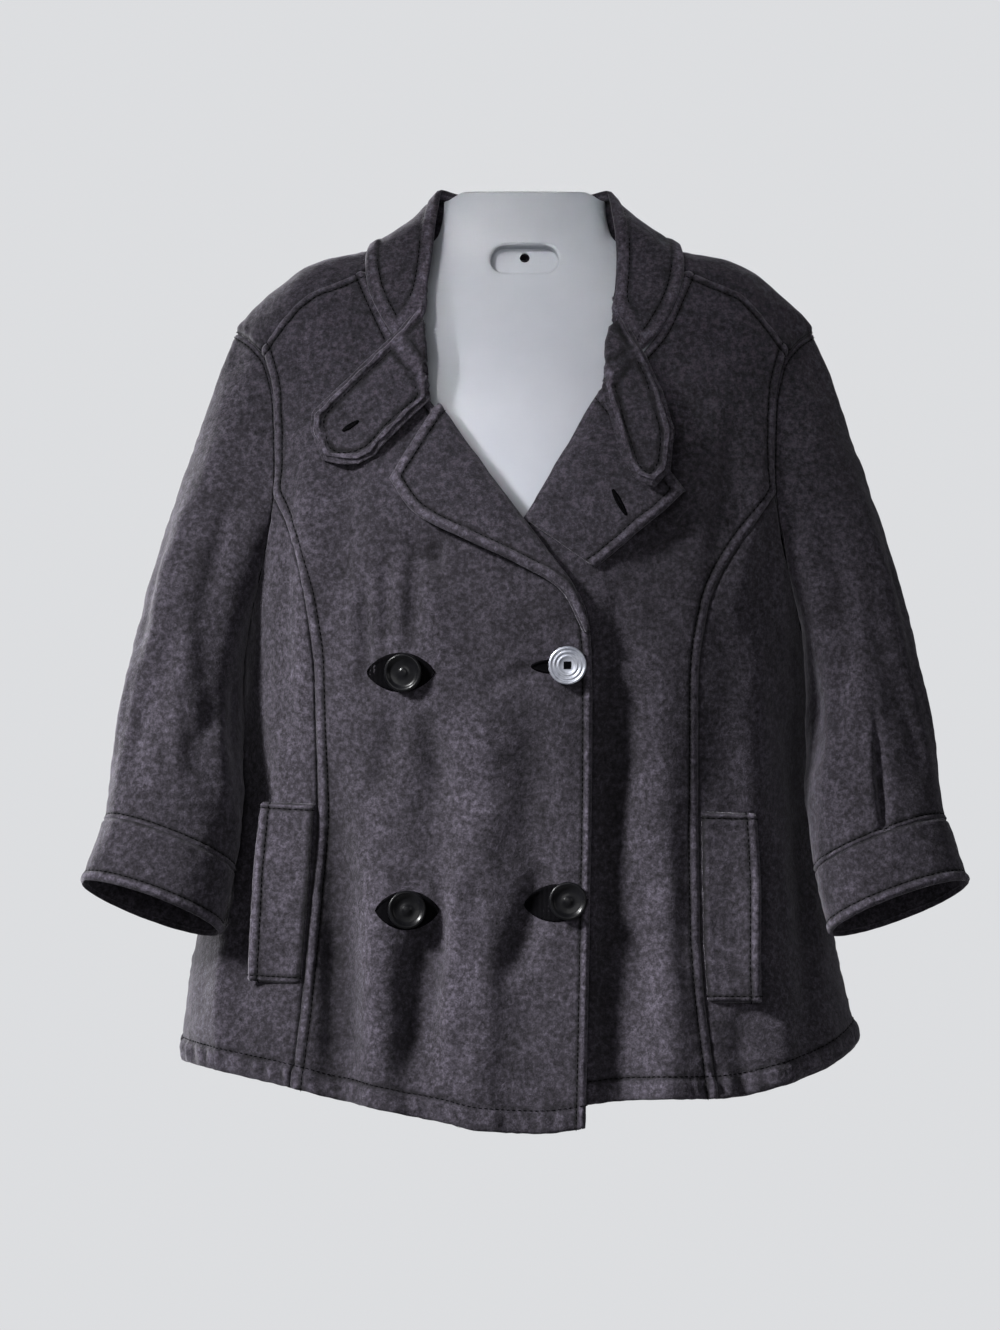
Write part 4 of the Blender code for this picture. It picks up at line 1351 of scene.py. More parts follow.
class Collar:
    """The collar with its tabs, one band from tip to tip."""

    rows = (
        (-113, -60.5, -152, -126, -60, -152, -138, -57, -149),
        (-102, -62, -146, -125, -60, -138, -146, -52, -128),
        (-97, -62, -140, -122, -58.5, -130, -145, -49, -117),
        (-82, -61, -125, -103, -58, -111, -122, -47, -95),
        (-64, -59, -108, -83, -57, -91, -99, -45, -73),
        (-73, -49, -87, -69, -54, -72, -81, -42, -55),
        (-92, -40, -61, -73, -42, -51, -69, -31, -37),
        (-108, -22, -27, -83, -20, -17, -63.5, -15, -7),
        (-110, -10, -10.5, -85, -7, 4, -62, -5, 14),
        (-107, 8, -0.8, -83, 8, 15, -60, 7, 29),
        (-96, 17.5, -1.2, -76, 20, 18, -57.5, 18, 39),
        (-55, 22, -7.2, -49, 24, 16, -42, 24, 35),
        (0, 24, -9.0, 0, 26.5, 14, 0, 27, 32),
        (55, 22, -7.2, 49, 24, 16, 42, 24, 35),
        (96, 17.5, -1.2, 76, 20, 18, 57.5, 18, 39),
        (107, 8, -0.8, 83, 8, 15, 60, 7, 29),
        (110, -10, -10.5, 85, -7, 4, 62, -5, 14),
        (108, -22, -27, 83, -20, -17, 63, -15, -7),
        (92, -40, -61, 68, -42, -51, 61, -32, -38),
        (65, -50, -86, 57, -56, -73, 71, -45, -59),
        (52.5, -61, -100, 66, -63, -91, 83, -53, -81),
        (57, -66, -117, 74, -65.5, -109.5, 93, -59, -102),
        (63, -71, -138, 82, -69, -134, 101, -64, -130),
        (68, -75, -152, 84, -74, -155, 98, -70, -157),
        (74, -77, -162, 81, -76.5, -166, 88, -75, -168),
    )

    def __init__(self, torso: Torso) -> None:
        """Keep the body it lies on.

        Args:
            torso: The body.
        """
        self.torso = torso

    def crisp_rows(self) -> list[tuple]:
        """Give the rows with more of them in the tabs, so that their corners stay crisp.

        Returns:
            Rows from tip to tip.
        """
        rows = [np.array(row, float) for row in self.rows]
        crisp = []
        for k, (low, high) in enumerate(zip(rows, rows[1:])):
            crisp.append(low)
            if k < 4 or k >= len(rows) - 5:
                crisp += [low + (high - low) * share for share in (0.18, 0.82)]
        return [tuple(row) for row in crisp + [rows[-1]]]

    def lift(self, x: np.ndarray, z: np.ndarray) -> np.ndarray:
        """Give how far it stays off the front, and off the lapel under one tab."""
        return 3.2 + np.where(x < 0, 0.0, 9.0 * ease(-78, -112, z))

    def pieces(self) -> list[Cloth]:
        """Make the collar.

        Returns:
            The piece, in a list.
        """
        along, t = stations(600, coarse=2.6), stations(56, reach=11, coarse=2.0)[None, :, None]
        row = Path(self.crisp_rows())(along)[:, None]
        start, middle, end = row[..., 0:3], row[..., 3:6], row[..., 6:9]
        bend = middle * 2 - (start + end) / 2
        grid = start * (1 - t) ** 2 + bend * 2 * t * (1 - t) + end * t * t
        x, y, z = grid[..., 0], grid[..., 1], grid[..., 2]
        held = np.minimum(y, self.torso.depth(x, z, False) - self.lift(x, z))
        hold = ease(4, -12, y) * ease(-14, -40, z)
        grid[..., 1] = y + (held - y) * hold
        around = ("low", "right", "high", "left")
        finishing = Finishing(*([Edge.PLAIN] * 4), around=around, around_stitch=9.5)
        made = Cloth("collar", grid, finishing)
        made.both_faces = True
        return [made]


@dataclass(frozen=True)
class LapelLines:
    """One lapel's roll line and free edge, as x and z from the top down."""

    roll: tuple
    edge: tuple


class Lapels:
    """The two lapels, each turned back on its front."""

    lines = {
        Side.RIGHT: LapelLines(
            roll=((-59, -110), (-32, -148), (-1, -190), (22, -220), (35, -239), (43, -266)),
            edge=((-91, -164), (-75, -186), (-40, -205), (-3, -222), (25, -239), (40, -267)),
        ),
        Side.LEFT: LapelLines(
            roll=((52, -101), (39, -121), (26, -142), (12, -166), (0, -188)),
            edge=((107, -172), (93, -185), (77, -198), (62, -211), (48, -222)),
        ),
    }

    def __init__(self, torso: Torso) -> None:
        """Keep the body they lie on.

        Args:
            torso: The body.
        """
        self.torso = torso

    def one(self, side: Side) -> Cloth:
        """Make a lapel.

        Args:
            side: The side it belongs to.

        Returns:
            The piece.
        """
        t = stations(150, reach=11, coarse=2.6)[::-1]
        s = stations(62, reach=11, coarse=2.2)[None]
        roll, edge = Path(self.lines[side].roll)(t)[:, None], Path(self.lines[side].edge)(t)[:, None]
        flat = roll + (edge - roll) * s[..., None]
        x, z = flat[..., 0], flat[..., 1]
        rise = np.sin(math.pi * np.minimum(s * 1.1, 1)) * (1 - 0.85 * t[:, None])
        fold = 0.6 + 2.3 * ease(0, 0.09, s)
        flare = 4.5 * ease(0.45, 1, s) * (1 - ease(0.5, 1, t[:, None]))
        lift = fold + 4.2 * rise + flare
        if side is Side.LEFT:
            lift = lift + self.torso.under(x, z)
        grid = self.torso.on_front(x, z, lift)
        around = ("right", "high") if side is Side.LEFT else ("high", "left")
        finishing = Finishing(*([Edge.PLAIN] * 4), around=around)
        made = Cloth(f"lapel_{side.word}", grid if side is Side.LEFT else grid[:, ::-1], finishing)
        made.both_faces = True
        return made

    def pieces(self) -> list[Cloth]:
        """Make both."""
        return [self.one(side) for side in Side]


@dataclass(frozen=True)
class Welt:
    """One upright pocket welt."""

    top: float
    low: float
    width: float
    gape: float


class PocketWelts:
    """The two pocket welts, which stand off at their open edge."""

    welts = {Side.RIGHT: Welt(-384, -506, 33, 7), Side.LEFT: Welt(-389, -518, 34, 11)}

    def __init__(self, torso: Torso) -> None:
        """Keep the body they are sewn to.

        Args:
            torso: The body.
        """
        self.torso = torso

    def one(self, side: Side) -> Cloth:
        """Make a welt.

        Args:
            side: The side it belongs to.

        Returns:
            The piece.
        """
        welt = self.welts[side]
        lines = RIGHT_LINES if side is Side.RIGHT else LEFT_LINES
        seam = Track([p[1] for p in lines.princess], [p[0] for p in lines.princess])
        t, s = stations(125, coarse=2.4)[:, None], stations(34, reach=10, coarse=2.0)[None]
        z = welt.low + (welt.top - welt.low) * t
        x = seam(z) + side.value * (1.5 + welt.width * s)
        lift = 2.5 + welt.gape * s * s * np.sin(math.pi * (0.12 + 0.76 * t))
        grid = self.torso.on_front(x, z - 1.25 * s * side.value, lift)
        outer = "right" if side is Side.LEFT else "left"
        finishing = Finishing(*([Edge.SEAM] * 4), stitch={outer: 7.0, "low": 4.0, "high": 4.0})
        finishing.low = finishing.high = Edge.STITCHED_SEAM
        setattr(finishing, outer, Edge.FOLDED)
        return Cloth(f"pocket_welt_{side.word}", grid if side is Side.LEFT else grid[:, ::-1], finishing)

    def pieces(self) -> list[Cloth]:
        """Make both."""
        return [self.one(side) for side in Side]


class ButtonFinish(Enum):
    """The two kinds of button; the value is the slot of its finish."""

    BLACK = "button_black"
    SILVER = "button_silver"


@dataclass(frozen=True)
class Button:
    """One button: its node, its place on the front and its finish."""

    name: str
    x: float
    z: float
    finish: ButtonFinish


class Buttons:
    """The four dished buttons on shanks."""

    lift = 1.6
    segments = 72
    pad_half = 2.7
    buttons = (
        Button("button_upper_outer", -82, -294, ButtonFinish.BLACK),
        Button("button_upper_edge", 28.5, -289, ButtonFinish.SILVER),
        Button("button_lower_outer", -80.5, -455, ButtonFinish.BLACK),
        Button("button_lower_edge", 29, -449, ButtonFinish.BLACK),
    )
    black_profile = (
        (0, -1.3), (3, -1.3), (3, 0), (8, 0), (11.8, 0), (12.6, 0.4), (13, 1.0), (13.05, 2.1), (13, 3.1),
        (12.7, 3.7), (12.1, 4.0), (11.4, 3.98), (10.7, 3.7), (10.0, 3.0), (9.2, 2.4), (8.0, 2.15),
        (5.5, 2.0), (3.6, 2.0), (3.0, 2.25), (2.4, 2.7), (1.4, 2.82), (0, 2.85),
    )
    silver_profile = (
        (0, -1.3), (3, -1.3), (3, 0), (8, 0), (11.8, 0), (12.6, 0.4), (13, 1.0), (13.05, 2.1), (13, 3.0),
        (12.6, 3.6), (12.0, 3.85), (11.4, 3.7), (10.9, 3.2), (10.4, 2.85), (9.9, 3.1), (9.3, 3.35),
        (8.6, 3.2), (8.1, 2.75), (7.6, 2.55), (7.1, 2.8), (6.5, 3.0), (5.8, 2.9), (5.3, 2.6), (4.6, 2.5),
        (2.5, 2.5), (0, 2.5),
    )

    def __init__(self, torso: Torso) -> None:
        """Keep the body they are sewn to.

        Args:
            torso: The body.
        """
        self.torso = torso

    def axes(self, button: Button) -> tuple[np.ndarray, np.ndarray]:
        """Give a button's foot and the axes it stands on.

        Args:
            button: The button.

        Returns:
            The foot, and rows of axes across, up and out.
        """
        foot, tip = (self.torso.on_front(button.x, button.z, self.lift + k) for k in (0.0, 1.0))
        out = tip - foot
        out /= np.linalg.norm(out)
        across = np.cross(np.array([0.0, 0.0, 1.0]), -out)
        across /= -np.linalg.norm(across)
        return foot, np.stack([across, np.cross(out, across), out])

    def build(self, button: Button) -> bpy.types.Object:
        """Turn a button from its profile.

        Args:
            button: The button.

        Returns:
            Its object.
        """
        profile = self.black_profile if button.finish is ButtonFinish.BLACK else self.silver_profile
        turn = np.linspace(0, 2 * math.pi, self.segments, endpoint=False)
        foot, axes = self.axes(button)
        points, faces, total = [], [], 0
        rings = []
        for radius, height in profile:
            if radius == 0:
                points.append(np.array([[0.0, 0.0, height]]))
                rings.append(np.full(self.segments, total))
                total += 1
                continue
            ring = (radius * np.cos(turn), radius * np.sin(turn), np.full_like(turn, height))
            points.append(np.stack(ring, axis=-1))
            rings.append(np.arange(total, total + self.segments))
            total += self.segments
        for low, high in zip(rings, rings[1:]):
            for k in range(self.segments):
                j = (k + 1) % self.segments
                face = [low[k], low[j], high[j], high[k]]
                faces.append([int(v) for n, v in enumerate(face) if v not in face[:n]])
        placed = foot + np.concatenate(points) @ axes
        return polygons(button.name + "_turned", placed, faces)


    def pad(self, button: Button) -> bpy.types.Object:
        """Make the square of thread in the middle of a silver button.

        Args:
            button: The button.

        Returns:
            Its object.
        """
        v, u = np.meshgrid(np.linspace(-1, 1, 25), np.linspace(-1, 1, 25), indexing="ij")
        height = 2.45 + 0.55 * (1 - u**8) * (1 - v**8) + 0.09 * np.sin(u * 19)
        foot, axes = self.axes(button)
        grid = foot + np.stack([u * self.pad_half, v * self.pad_half, height], axis=-1) @ axes
        square = Cloth(button.name + "_pad", grid, Finishing(*([Edge.PLAIN] * 4)), crumple=0.0)
        square.thickness, square.bulge = 0.5, 0.1
        return square.build()


@dataclass(frozen=True)
class Slit:
    """A buttonhole: the piece it is cut in, its middle, its sizes and its slope in degrees."""

    piece: str
    x: float
    z: float
    length: float
    height: float
    slope: float = 0.0
    inner: bool = False


class Buttonholes:
    """The buttonholes, which the buttons pull open into eyes: a near-black sheet, painted shade inside the
    open slit, with a raised thread lip round it.
    """

    slits = (
        # The four eyes round the buttons are as tall as the buttons; the dark sheet there is painted shade of
        # the pulled-open slit.
        Slit("front_right", -84.5, -294, 46, 25),
        Slit("front_right", 18, -290, 28, 8),
        Slit("front_right", -80, -455.5, 43, 25),
        Slit("front_right", 21, -450.5, 43, 24, 4),
        Slit("lapel_left", 64, -178.5, 20, 2.6, -62),
        Slit("collar", -119, -126, 13, 2.2, 32, inner=True),
    )

    def build(self, slit: Slit, piece: Cloth, number: int) -> bpy.types.Object:
        """Work one buttonhole on its piece, as a near-black sheet of painted shade with a raised lip.

        Args:
            slit: The buttonhole.
            piece: The piece it is cut in.
            number: Its place in the list.

        Returns:
            Its object.
        """
        u = np.linspace(-1, 1, int(slit.length / 0.4))[None]
        v = np.linspace(-1, 1, 15)[:, None]
        half = slit.height / 2 * (1 - u * u) ** 0.75 + 0.7
        along, over = np.broadcast_arrays(u * slit.length / 2, v * half)
        c, w = math.cos(math.radians(slit.slope)), math.sin(math.radians(slit.slope))
        grid = piece.drape(slit.x + along * c - over * w, slit.z + along * w + over * c, slit.inner)
        lip = bump(np.abs(over) - half + 1.0, 0.8) * (0.75 + 0.12 * np.sin(along * 5.2))
        grid[..., 1] -= 0.25 + lip
        # The sheet takes the near-black thread finish: painted shade inside the slit, real thread at its lip.
        eye_with_painted_shade = Cloth(f"buttonhole_{number}", grid, Finishing(*([Edge.PLAIN] * 4)), crumple=0.0)
        eye_with_painted_shade.thickness, eye_with_painted_shade.bulge = 0.9, 0.2
        return eye_with_painted_shade.build()


def polygons(name: str, points: np.ndarray, faces: list) -> bpy.types.Object:
    """Make a smooth object from faces with any number of corners.

    Args:
        name: The object's name.
        points: Points in millimetres.
        faces: Lists of point numbers.

    Returns:
        The object, linked to the scene.
    """
    mesh = bpy.data.meshes.new(name)
    mesh.from_pydata((points * MM).tolist(), [], faces)
    mesh.shade_smooth()
    made = bpy.data.objects.new(name, mesh)
    bpy.context.scene.collection.objects.link(made)
    return made


class TorsoForm:
    """The white half-torso form: a shell with an open back and a hanging slot in its neck."""

    wall = 2.4
    rounding = 2.2
    slot_length = 46.0
    slot_height = 20.0
    slot_depth = 8.0
    slot_y = -3.6
    slot_rim = 1.8
    tray_wall = 2.0
    tray_depths = (-10, -1.2)
    hole_width = 7.0
    hole_rise = 3.5
    hole_depths = (-14, -2)
    cutter_reach = 20
    crown = 1.4
    corner = 6.0
    corner_from = 36.0
    lean = math.radians(90 - 16)
    rows = (
        (35, 55.5, 0.5, 16), (20, 56.5, -0.5, 15), (8, 59, -2, 13), (0, 66, -3.5, 12), (-10, 80, -6, 10),
        (-20, 104, -10, 8), (-21.5, 126, -11, 8.5), (-23.5, 145, -12.5, 9), (-25.7, 158, -14, 9.5),
        (-29.9, 165.5, -16, 10), (-39.5, 170, -21, 12.5), (-54, 172, -28, 16), (-74, 174, -37, 19),
        (-100, 174, -48, 21), (-140, 168, -62, 23), (-190, 163, -77, 24), (-250, 160, -88, 24),
        (-310, 156, -86, 24), (-370, 150, -79, 24), (-430, 148, -76, 24), (-490, 154, -78, 24),
    )

    def depth(self, x: np.ndarray, z: np.ndarray) -> np.ndarray:
        """Give the outer surface's place along Y.

        Args:
            x: Places across.
            z: Heights.

        Returns:
            Places along Y.
        """
        heights = [row[0] for row in self.rows]
        half_width, front, edge = (Track(heights, [row[k] for row in self.rows])(z) for k in (1, 2, 3))
        share = np.minimum(np.abs(x) / half_width, 1.0)
        return edge - (edge - front) * np.sqrt(1 - share**self.rounding)

    def shell(self) -> bpy.types.Object:
        """Make the shell before its slot is cut.

        Returns:
            A closed wall.
        """
        share = stations(640, fine=1.2, coarse=3.6)[::-1]
        height, half_width, _, _ = (a[:, None] for a in Path(self.rows)(share).T)
        turn = np.linspace(-math.pi / 2, math.pi / 2, 151)[None]
        across = np.copysign(np.abs(np.sin(turn)) ** (2 / self.rounding), turn)
        x, z = np.broadcast_arrays(half_width * across, height)
        offsets = np.linspace(-1, 1, 11)
        weights = 1.05 - offsets**2
        soft = sum(w * self.depth(x, z + 22 * o) for w, o in zip(weights, offsets)) / weights.sum()
        hold = ease(110, 78, np.abs(x)) * ease(30, 8, z)
        y = self.depth(x, z) * (1 - hold) + soft * hold
        arch = self.crown - self.corner * ease(self.corner_from, self.rows[0][1], np.abs(x)) ** 2
        z = z + arch * ease(10, self.rows[0][0], z)
        moulded = Cloth("form", np.stack([x, y, z], axis=-1), Finishing(*([Edge.PLAIN] * 4)), crumple=0.0)
        moulded.thickness = self.wall
        return moulded.build()

    def block(self, length: float, height: float, rise: float, sections: Sequence[tuple]) -> bpy.types.Object:
        """Make a round-ended block, square to the neck at its slot.

        Args:
            length: Its length across.
            height: Its height.
            rise: How far its middle stands over the slot's middle.
            sections: Outlines from the floor up, each as its depth out from the neck, how much it has
                grown, and whether its depth is counted from the neck's curved surface.

        Returns:
            A closed block.
        """
        turns = np.linspace(-math.pi / 2, math.pi / 2, 25)
        out = np.array([0.0, -math.sin(self.lean), math.cos(self.lean)])
        up = np.array([0.0, math.cos(self.lean), math.sin(self.lean)])
        base = np.array([0.0, self.slot_y, 0.0]) + up * (rise - self.slot_height / 2)
        loops = []
        for depth, grown, curved in sections:
            radius = height / 2 + grown
            half = np.stack([(length - height) / 2 + radius * np.cos(turns), radius * np.sin(turns)], axis=-1)
            if length == height:
                half = half[:-1]
            outline = np.concatenate([half, -half])
            flat = base + outline[:, :1] * np.array([1.0, 0.0, 0.0]) + outline[:, 1:] * up
            skin = (flat[:, 1] - self.depth(flat[:, 0], flat[:, 2])) / math.sin(self.lean)
            loops.append(flat + out * (depth + curved * skin)[:, None])
        count = len(loops[0])
        faces = [list(range(count))[::-1], list(range((len(loops) - 1) * count, len(loops) * count))]
        for low in range(0, (len(loops) - 1) * count, count):
            ring = [(low + k, low + (k + 1) % count) for k in range(count)]
            faces += [[a, b, b + count, a + count] for a, b in ring]
        return polygons("slot_block", np.concatenate(loops), faces)

    def build(self) -> bpy.types.Object:
        """Sink the slot with a rounded rim, and drill the hole in its floor.

        Returns:
            The form's object.
        """
        made = self.shell()
        turns = np.linspace(0, math.pi / 2, 6)
        rim = [(self.slot_rim * (math.sin(a) - 1), self.slot_rim * (1 - math.cos(a)), True) for a in turns]
        mouth = [(-self.slot_depth, 0, False), *rim, (self.cutter_reach, self.slot_rim, False)]
        grown = 2 * self.tray_wall
        tray, hole = ([(depth, 0, False) for depth in ends] for ends in (self.tray_depths, self.hole_depths))
        steps = (
            (self.block(self.slot_length + grown, self.slot_height + grown, 0, tray), "UNION"),
            (self.block(self.slot_length, self.slot_height, 0, mouth), "DIFFERENCE"),
            (self.block(self.hole_width, self.hole_width, self.hole_rise, hole), "DIFFERENCE"),
        )
        for block, way in steps:
            cut = made.modifiers.new(way.title(), "BOOLEAN")
            cut.operation = way
            cut.object = block
        freeze(made)
        for block, _ in steps:
            bpy.data.objects.remove(block)
        made.data.shade_smooth()
        made.data.set_sharp_from_angle(angle=math.radians(42))
        return made


def freeze(made: bpy.types.Object) -> None:
    """Turn an object's modifiers into its mesh.

    Args:
        made: The object.
    """
    bpy.context.view_layer.update()
    graph = bpy.context.evaluated_depsgraph_get()
    mesh = bpy.data.meshes.new_from_object(made.evaluated_get(graph))
    made.modifiers.clear()
    made.data = mesh


class Bench:
    """Adds nodes to a tree and joins them."""

    def __init__(self, tree: bpy.types.NodeTree) -> None:
        """Keep the tree.

        Args:
            tree: The tree to add to.
        """
        self.tree = tree

    def add(self, kind: str, inputs: dict | None = None, **settings: object) -> bpy.types.Node:
        """Add a node.

        Args:
            kind: The node's type.
            inputs: Values or sockets for its inputs, by name or number.
            settings: Its own properties.

        Returns:
            The node.
        """
        node = self.tree.nodes.new(kind)
        for name, value in settings.items():
            setattr(node, name, value)
        for name, value in (inputs or {}).items():
            if isinstance(value, bpy.types.NodeSocket):
                self.tree.links.new(value, node.inputs[name])
            else:
                node.inputs[name].default_value = value
        return node

    def math(self, operation: str, a: object, b: object = 0.0) -> bpy.types.NodeSocket:
        """Add a sum of two values or sockets and give its result."""
        return self.add("ShaderNodeMath", {0: a, 1: b}, operation=operation).outputs[0]

    def ramp(self, value: bpy.types.NodeSocket, stops: Sequence[tuple]) -> bpy.types.NodeSocket:
        """Add a colour ramp.

        Args:
            value: What it reads.
            stops: Pairs of a place and a colour.

        Returns:
            Its colour.
        """
        node = self.add("ShaderNodeValToRGB", {"Fac": value})
        stretch = node.color_ramp.elements
        while len(stretch) < len(stops):
            stretch.new(0.5)
        for element, (place, colour) in zip(stretch, stops):
            element.position = place
            element.color = (*colour, 1.0)
        return node.outputs["Color"]


def group_of(kind: str, name: str, inputs: Sequence[tuple], outputs: Sequence[tuple]) -> tuple:
    """Start a node group.

    Args:
        kind: The tree's type.
        name: The group's name.
        inputs: Names, socket kinds and default values.
        outputs: Names and socket kinds.

    Returns:
        The tree, a bench for it, its input node and its output node.
    """
    tree = bpy.data.node_groups.new(name, kind)
    for label, socket, *default in inputs:
        made = tree.interface.new_socket(label, in_out="INPUT", socket_type=socket)
        if default:
            made.default_value = default[0]
    for label, socket in outputs:
        tree.interface.new_socket(label, in_out="OUTPUT", socket_type=socket)
    bench = Bench(tree)
    return tree, bench, bench.add("NodeGroupInput"), bench.add("NodeGroupOutput")


@dataclass(frozen=True)
class StitchSizes:
    """Sizes of the stitches in millimetres."""

    pitch: float = 3.9
    length: float = 2.85
    width: float = 0.75
    height: float = 0.5


class Stitching:
    """All the thread on the jacket, as short stitches along its runs."""

    def __init__(self, sizes: StitchSizes) -> None:
        """Start with no runs.

        Args:
            sizes: The stitches' sizes.
        """
        self.sizes = sizes
        self.runs: list[Thread] = []

    def sew(self, piece: Cloth, *edges: str) -> None:
        """Stitch beside some of a piece's edges.

        Args:
            piece: The piece.
            edges: Names of its edges.
        """
        self.runs += [piece.thread(edge) for edge in edges]
        if piece.finishing.around:
            self.runs += [piece.thread_around(inner) for inner in (False, True)]

    def tree(self) -> bpy.types.NodeTree:
        """Build the tree that lays one stitch after another.

        Returns:
            The tree, with its sizes as named inputs.
        """
        sizes = ("Pitch", "Length", "Width", "Height")
        inputs = [("Runs", "NodeSocketGeometry")] + [(n, "NodeSocketFloat", 0.001) for n in sizes]
        inputs.append(("Finish", "NodeSocketMaterial"))
        tree, bench, start, end = group_of(
            "GeometryNodeTree", "Stitches", inputs, [("Stitches", "NodeSocketGeometry")]
        )
        at = start.outputs
        curve = bench.add("GeometryNodeMeshToCurve", {"Mesh": at["Runs"]})
        steps = bench.add(
            "GeometryNodeResampleCurve", {"Curve": curve.outputs[0], "Length": at["Pitch"]}, mode="LENGTH"
        )
        tangent = bench.add("GeometryNodeInputTangent")
        lie = bench.add("GeometryNodeInputNamedAttribute", {"Name": "lie"}, data_type="FLOAT_VECTOR")
        along = bench.add("FunctionNodeAlignRotationToVector", {"Vector": tangent.outputs[0]}, axis="X")
        flat = bench.add(
            "FunctionNodeAlignRotationToVector",
            {"Rotation": along.outputs[0], "Vector": lie.outputs[0]},
            axis="Z",
            pivot_axis="X",
        )
        halves = [bench.math("MULTIPLY", at[name], 0.5) for name in sizes[1:]]
        size = bench.add("ShaderNodeCombineXYZ", dict(enumerate(halves)))
        bead = bench.add("GeometryNodeMeshIcoSphere", {"Radius": 1.0, "Subdivisions": 2})
        smooth = bench.add("GeometryNodeSetShadeSmooth", {"Geometry": bead.outputs["Mesh"]})
        laid = bench.add(
            "GeometryNodeInstanceOnPoints",
            {
                "Points": steps.outputs[0],
                "Instance": smooth.outputs[0],
                "Rotation": flat.outputs[0],
                "Scale": size.outputs[0],
            },
        )
        real = bench.add("GeometryNodeRealizeInstances", {"Geometry": laid.outputs[0]})
        dressed = bench.add(
            "GeometryNodeSetMaterial", {"Geometry": real.outputs[0], "Material": at["Finish"]}
        )
        tree.links.new(dressed.outputs[0], end.inputs["Stitches"])
        return tree

    def build(self, finish: bpy.types.Material) -> bpy.types.Object:
        """Lay the stitches along every run.

        Args:
            finish: The thread's material.

        Returns:
            One object with all the stitches.
        """
        points = np.concatenate([run.points for run in self.runs]) * MM
        edges, total = [], 0
        for run in self.runs:
            edges += [(k, k + 1) for k in range(total, total + len(run.points) - 1)]
            total += len(run.points)
        mesh = bpy.data.meshes.new("stitching")
        mesh.from_pydata(points.tolist(), edges, [])
        lie = mesh.attributes.new("lie", "FLOAT_VECTOR", "POINT")
        lie.data.foreach_set("vector", np.concatenate([run.normals for run in self.runs]).ravel())
        made = bpy.data.objects.new("stitching", mesh)
        bpy.context.scene.collection.objects.link(made)
        tree = self.tree()
        nodes = made.modifiers.new("Stitches", "NODES")
        nodes.node_group = tree
        values = {
            "Pitch": self.sizes.pitch * MM,
            "Length": self.sizes.length * MM,
            "Width": self.sizes.width * MM,
            "Height": self.sizes.height * MM,
            "Finish": finish,
        }
        for item in tree.interface.items_tree:
            if item.in_out == "INPUT" and item.name in values:
                nodes[item.identifier] = values[item.name]
        freeze(made)
        return made


class Grain:
    """Node groups that more than one finish uses."""

    @staticmethod
    def mottle() -> bpy.types.NodeTree:
        """Build a group of coarse and fine flecks.

        Returns:
            The group, with a fleck mask, a slow cloud mask and a height.
        """
        inputs = [("Fleck Scale", "NodeSocketFloat", 285.0), ("Cloud Scale", "NodeSocketFloat", 55.0)]
        outputs = [(n, "NodeSocketFloat") for n in ("Flecks", "Clouds", "Height")]
        tree, bench, start, end = group_of("ShaderNodeTree", "Mottle", inputs, outputs)
        place = bench.add("ShaderNodeTexCoord").outputs["Object"]
        fleck_scale = start.outputs["Fleck Scale"]
        fine_scale = bench.math("MULTIPLY", fleck_scale, 3.1)
        flecks = bench.add(
            "ShaderNodeTexNoise",
            {"Vector": place, "Scale": fleck_scale, "Detail": 4.0, "Roughness": 0.66, "Distortion": 0.1},
        )
        fine = bench.add(
            "ShaderNodeTexNoise", {"Vector": place, "Scale": fine_scale, "Detail": 2.0, "Roughness": 0.6}
        )
        clouds = bench.add(
            "ShaderNodeTexNoise", {"Vector": place, "Scale": start.outputs["Cloud Scale"], "Detail": 3.0}
        )
        half = bench.math("MULTIPLY", fine.outputs["Fac"], 0.45)
        height = bench.math("ADD", half, bench.math("MULTIPLY", flecks.outputs["Fac"], 0.55))
        tree.links.new(height, end.inputs["Height"])
        mixed = bench.math("ADD", bench.math("MULTIPLY", flecks.outputs["Fac"], 0.74),
                           bench.math("MULTIPLY", fine.outputs["Fac"], 0.26))
        tree.links.new(mixed, end.inputs["Flecks"])
        tree.links.new(clouds.outputs["Fac"], end.inputs["Clouds"])
        return tree


@dataclass(frozen=True)
class Finish:
    """A plain finish: the values that are the same all over."""

    slot: str
    roughness: float
    metallic: float = 0.0
    sheen: float = 0.0
    coat: float = 0.0

    def start(self) -> tuple[bpy.types.Material, Bench, bpy.types.Node]:
        """Start a material with these values.

        Returns:
            The material, a bench for its tree and its shader.
        """
        material = bpy.data.materials.new(self.slot)
        material.use_nodes = True
        shader = material.node_tree.nodes["Principled BSDF"]
        shader.inputs["Roughness"].default_value = self.roughness
        shader.inputs["Metallic"].default_value = self.metallic
        shader.inputs["Sheen Weight"].default_value = self.sheen
        shader.inputs["Coat Weight"].default_value = self.coat
        return material, Bench(material.node_tree), shader


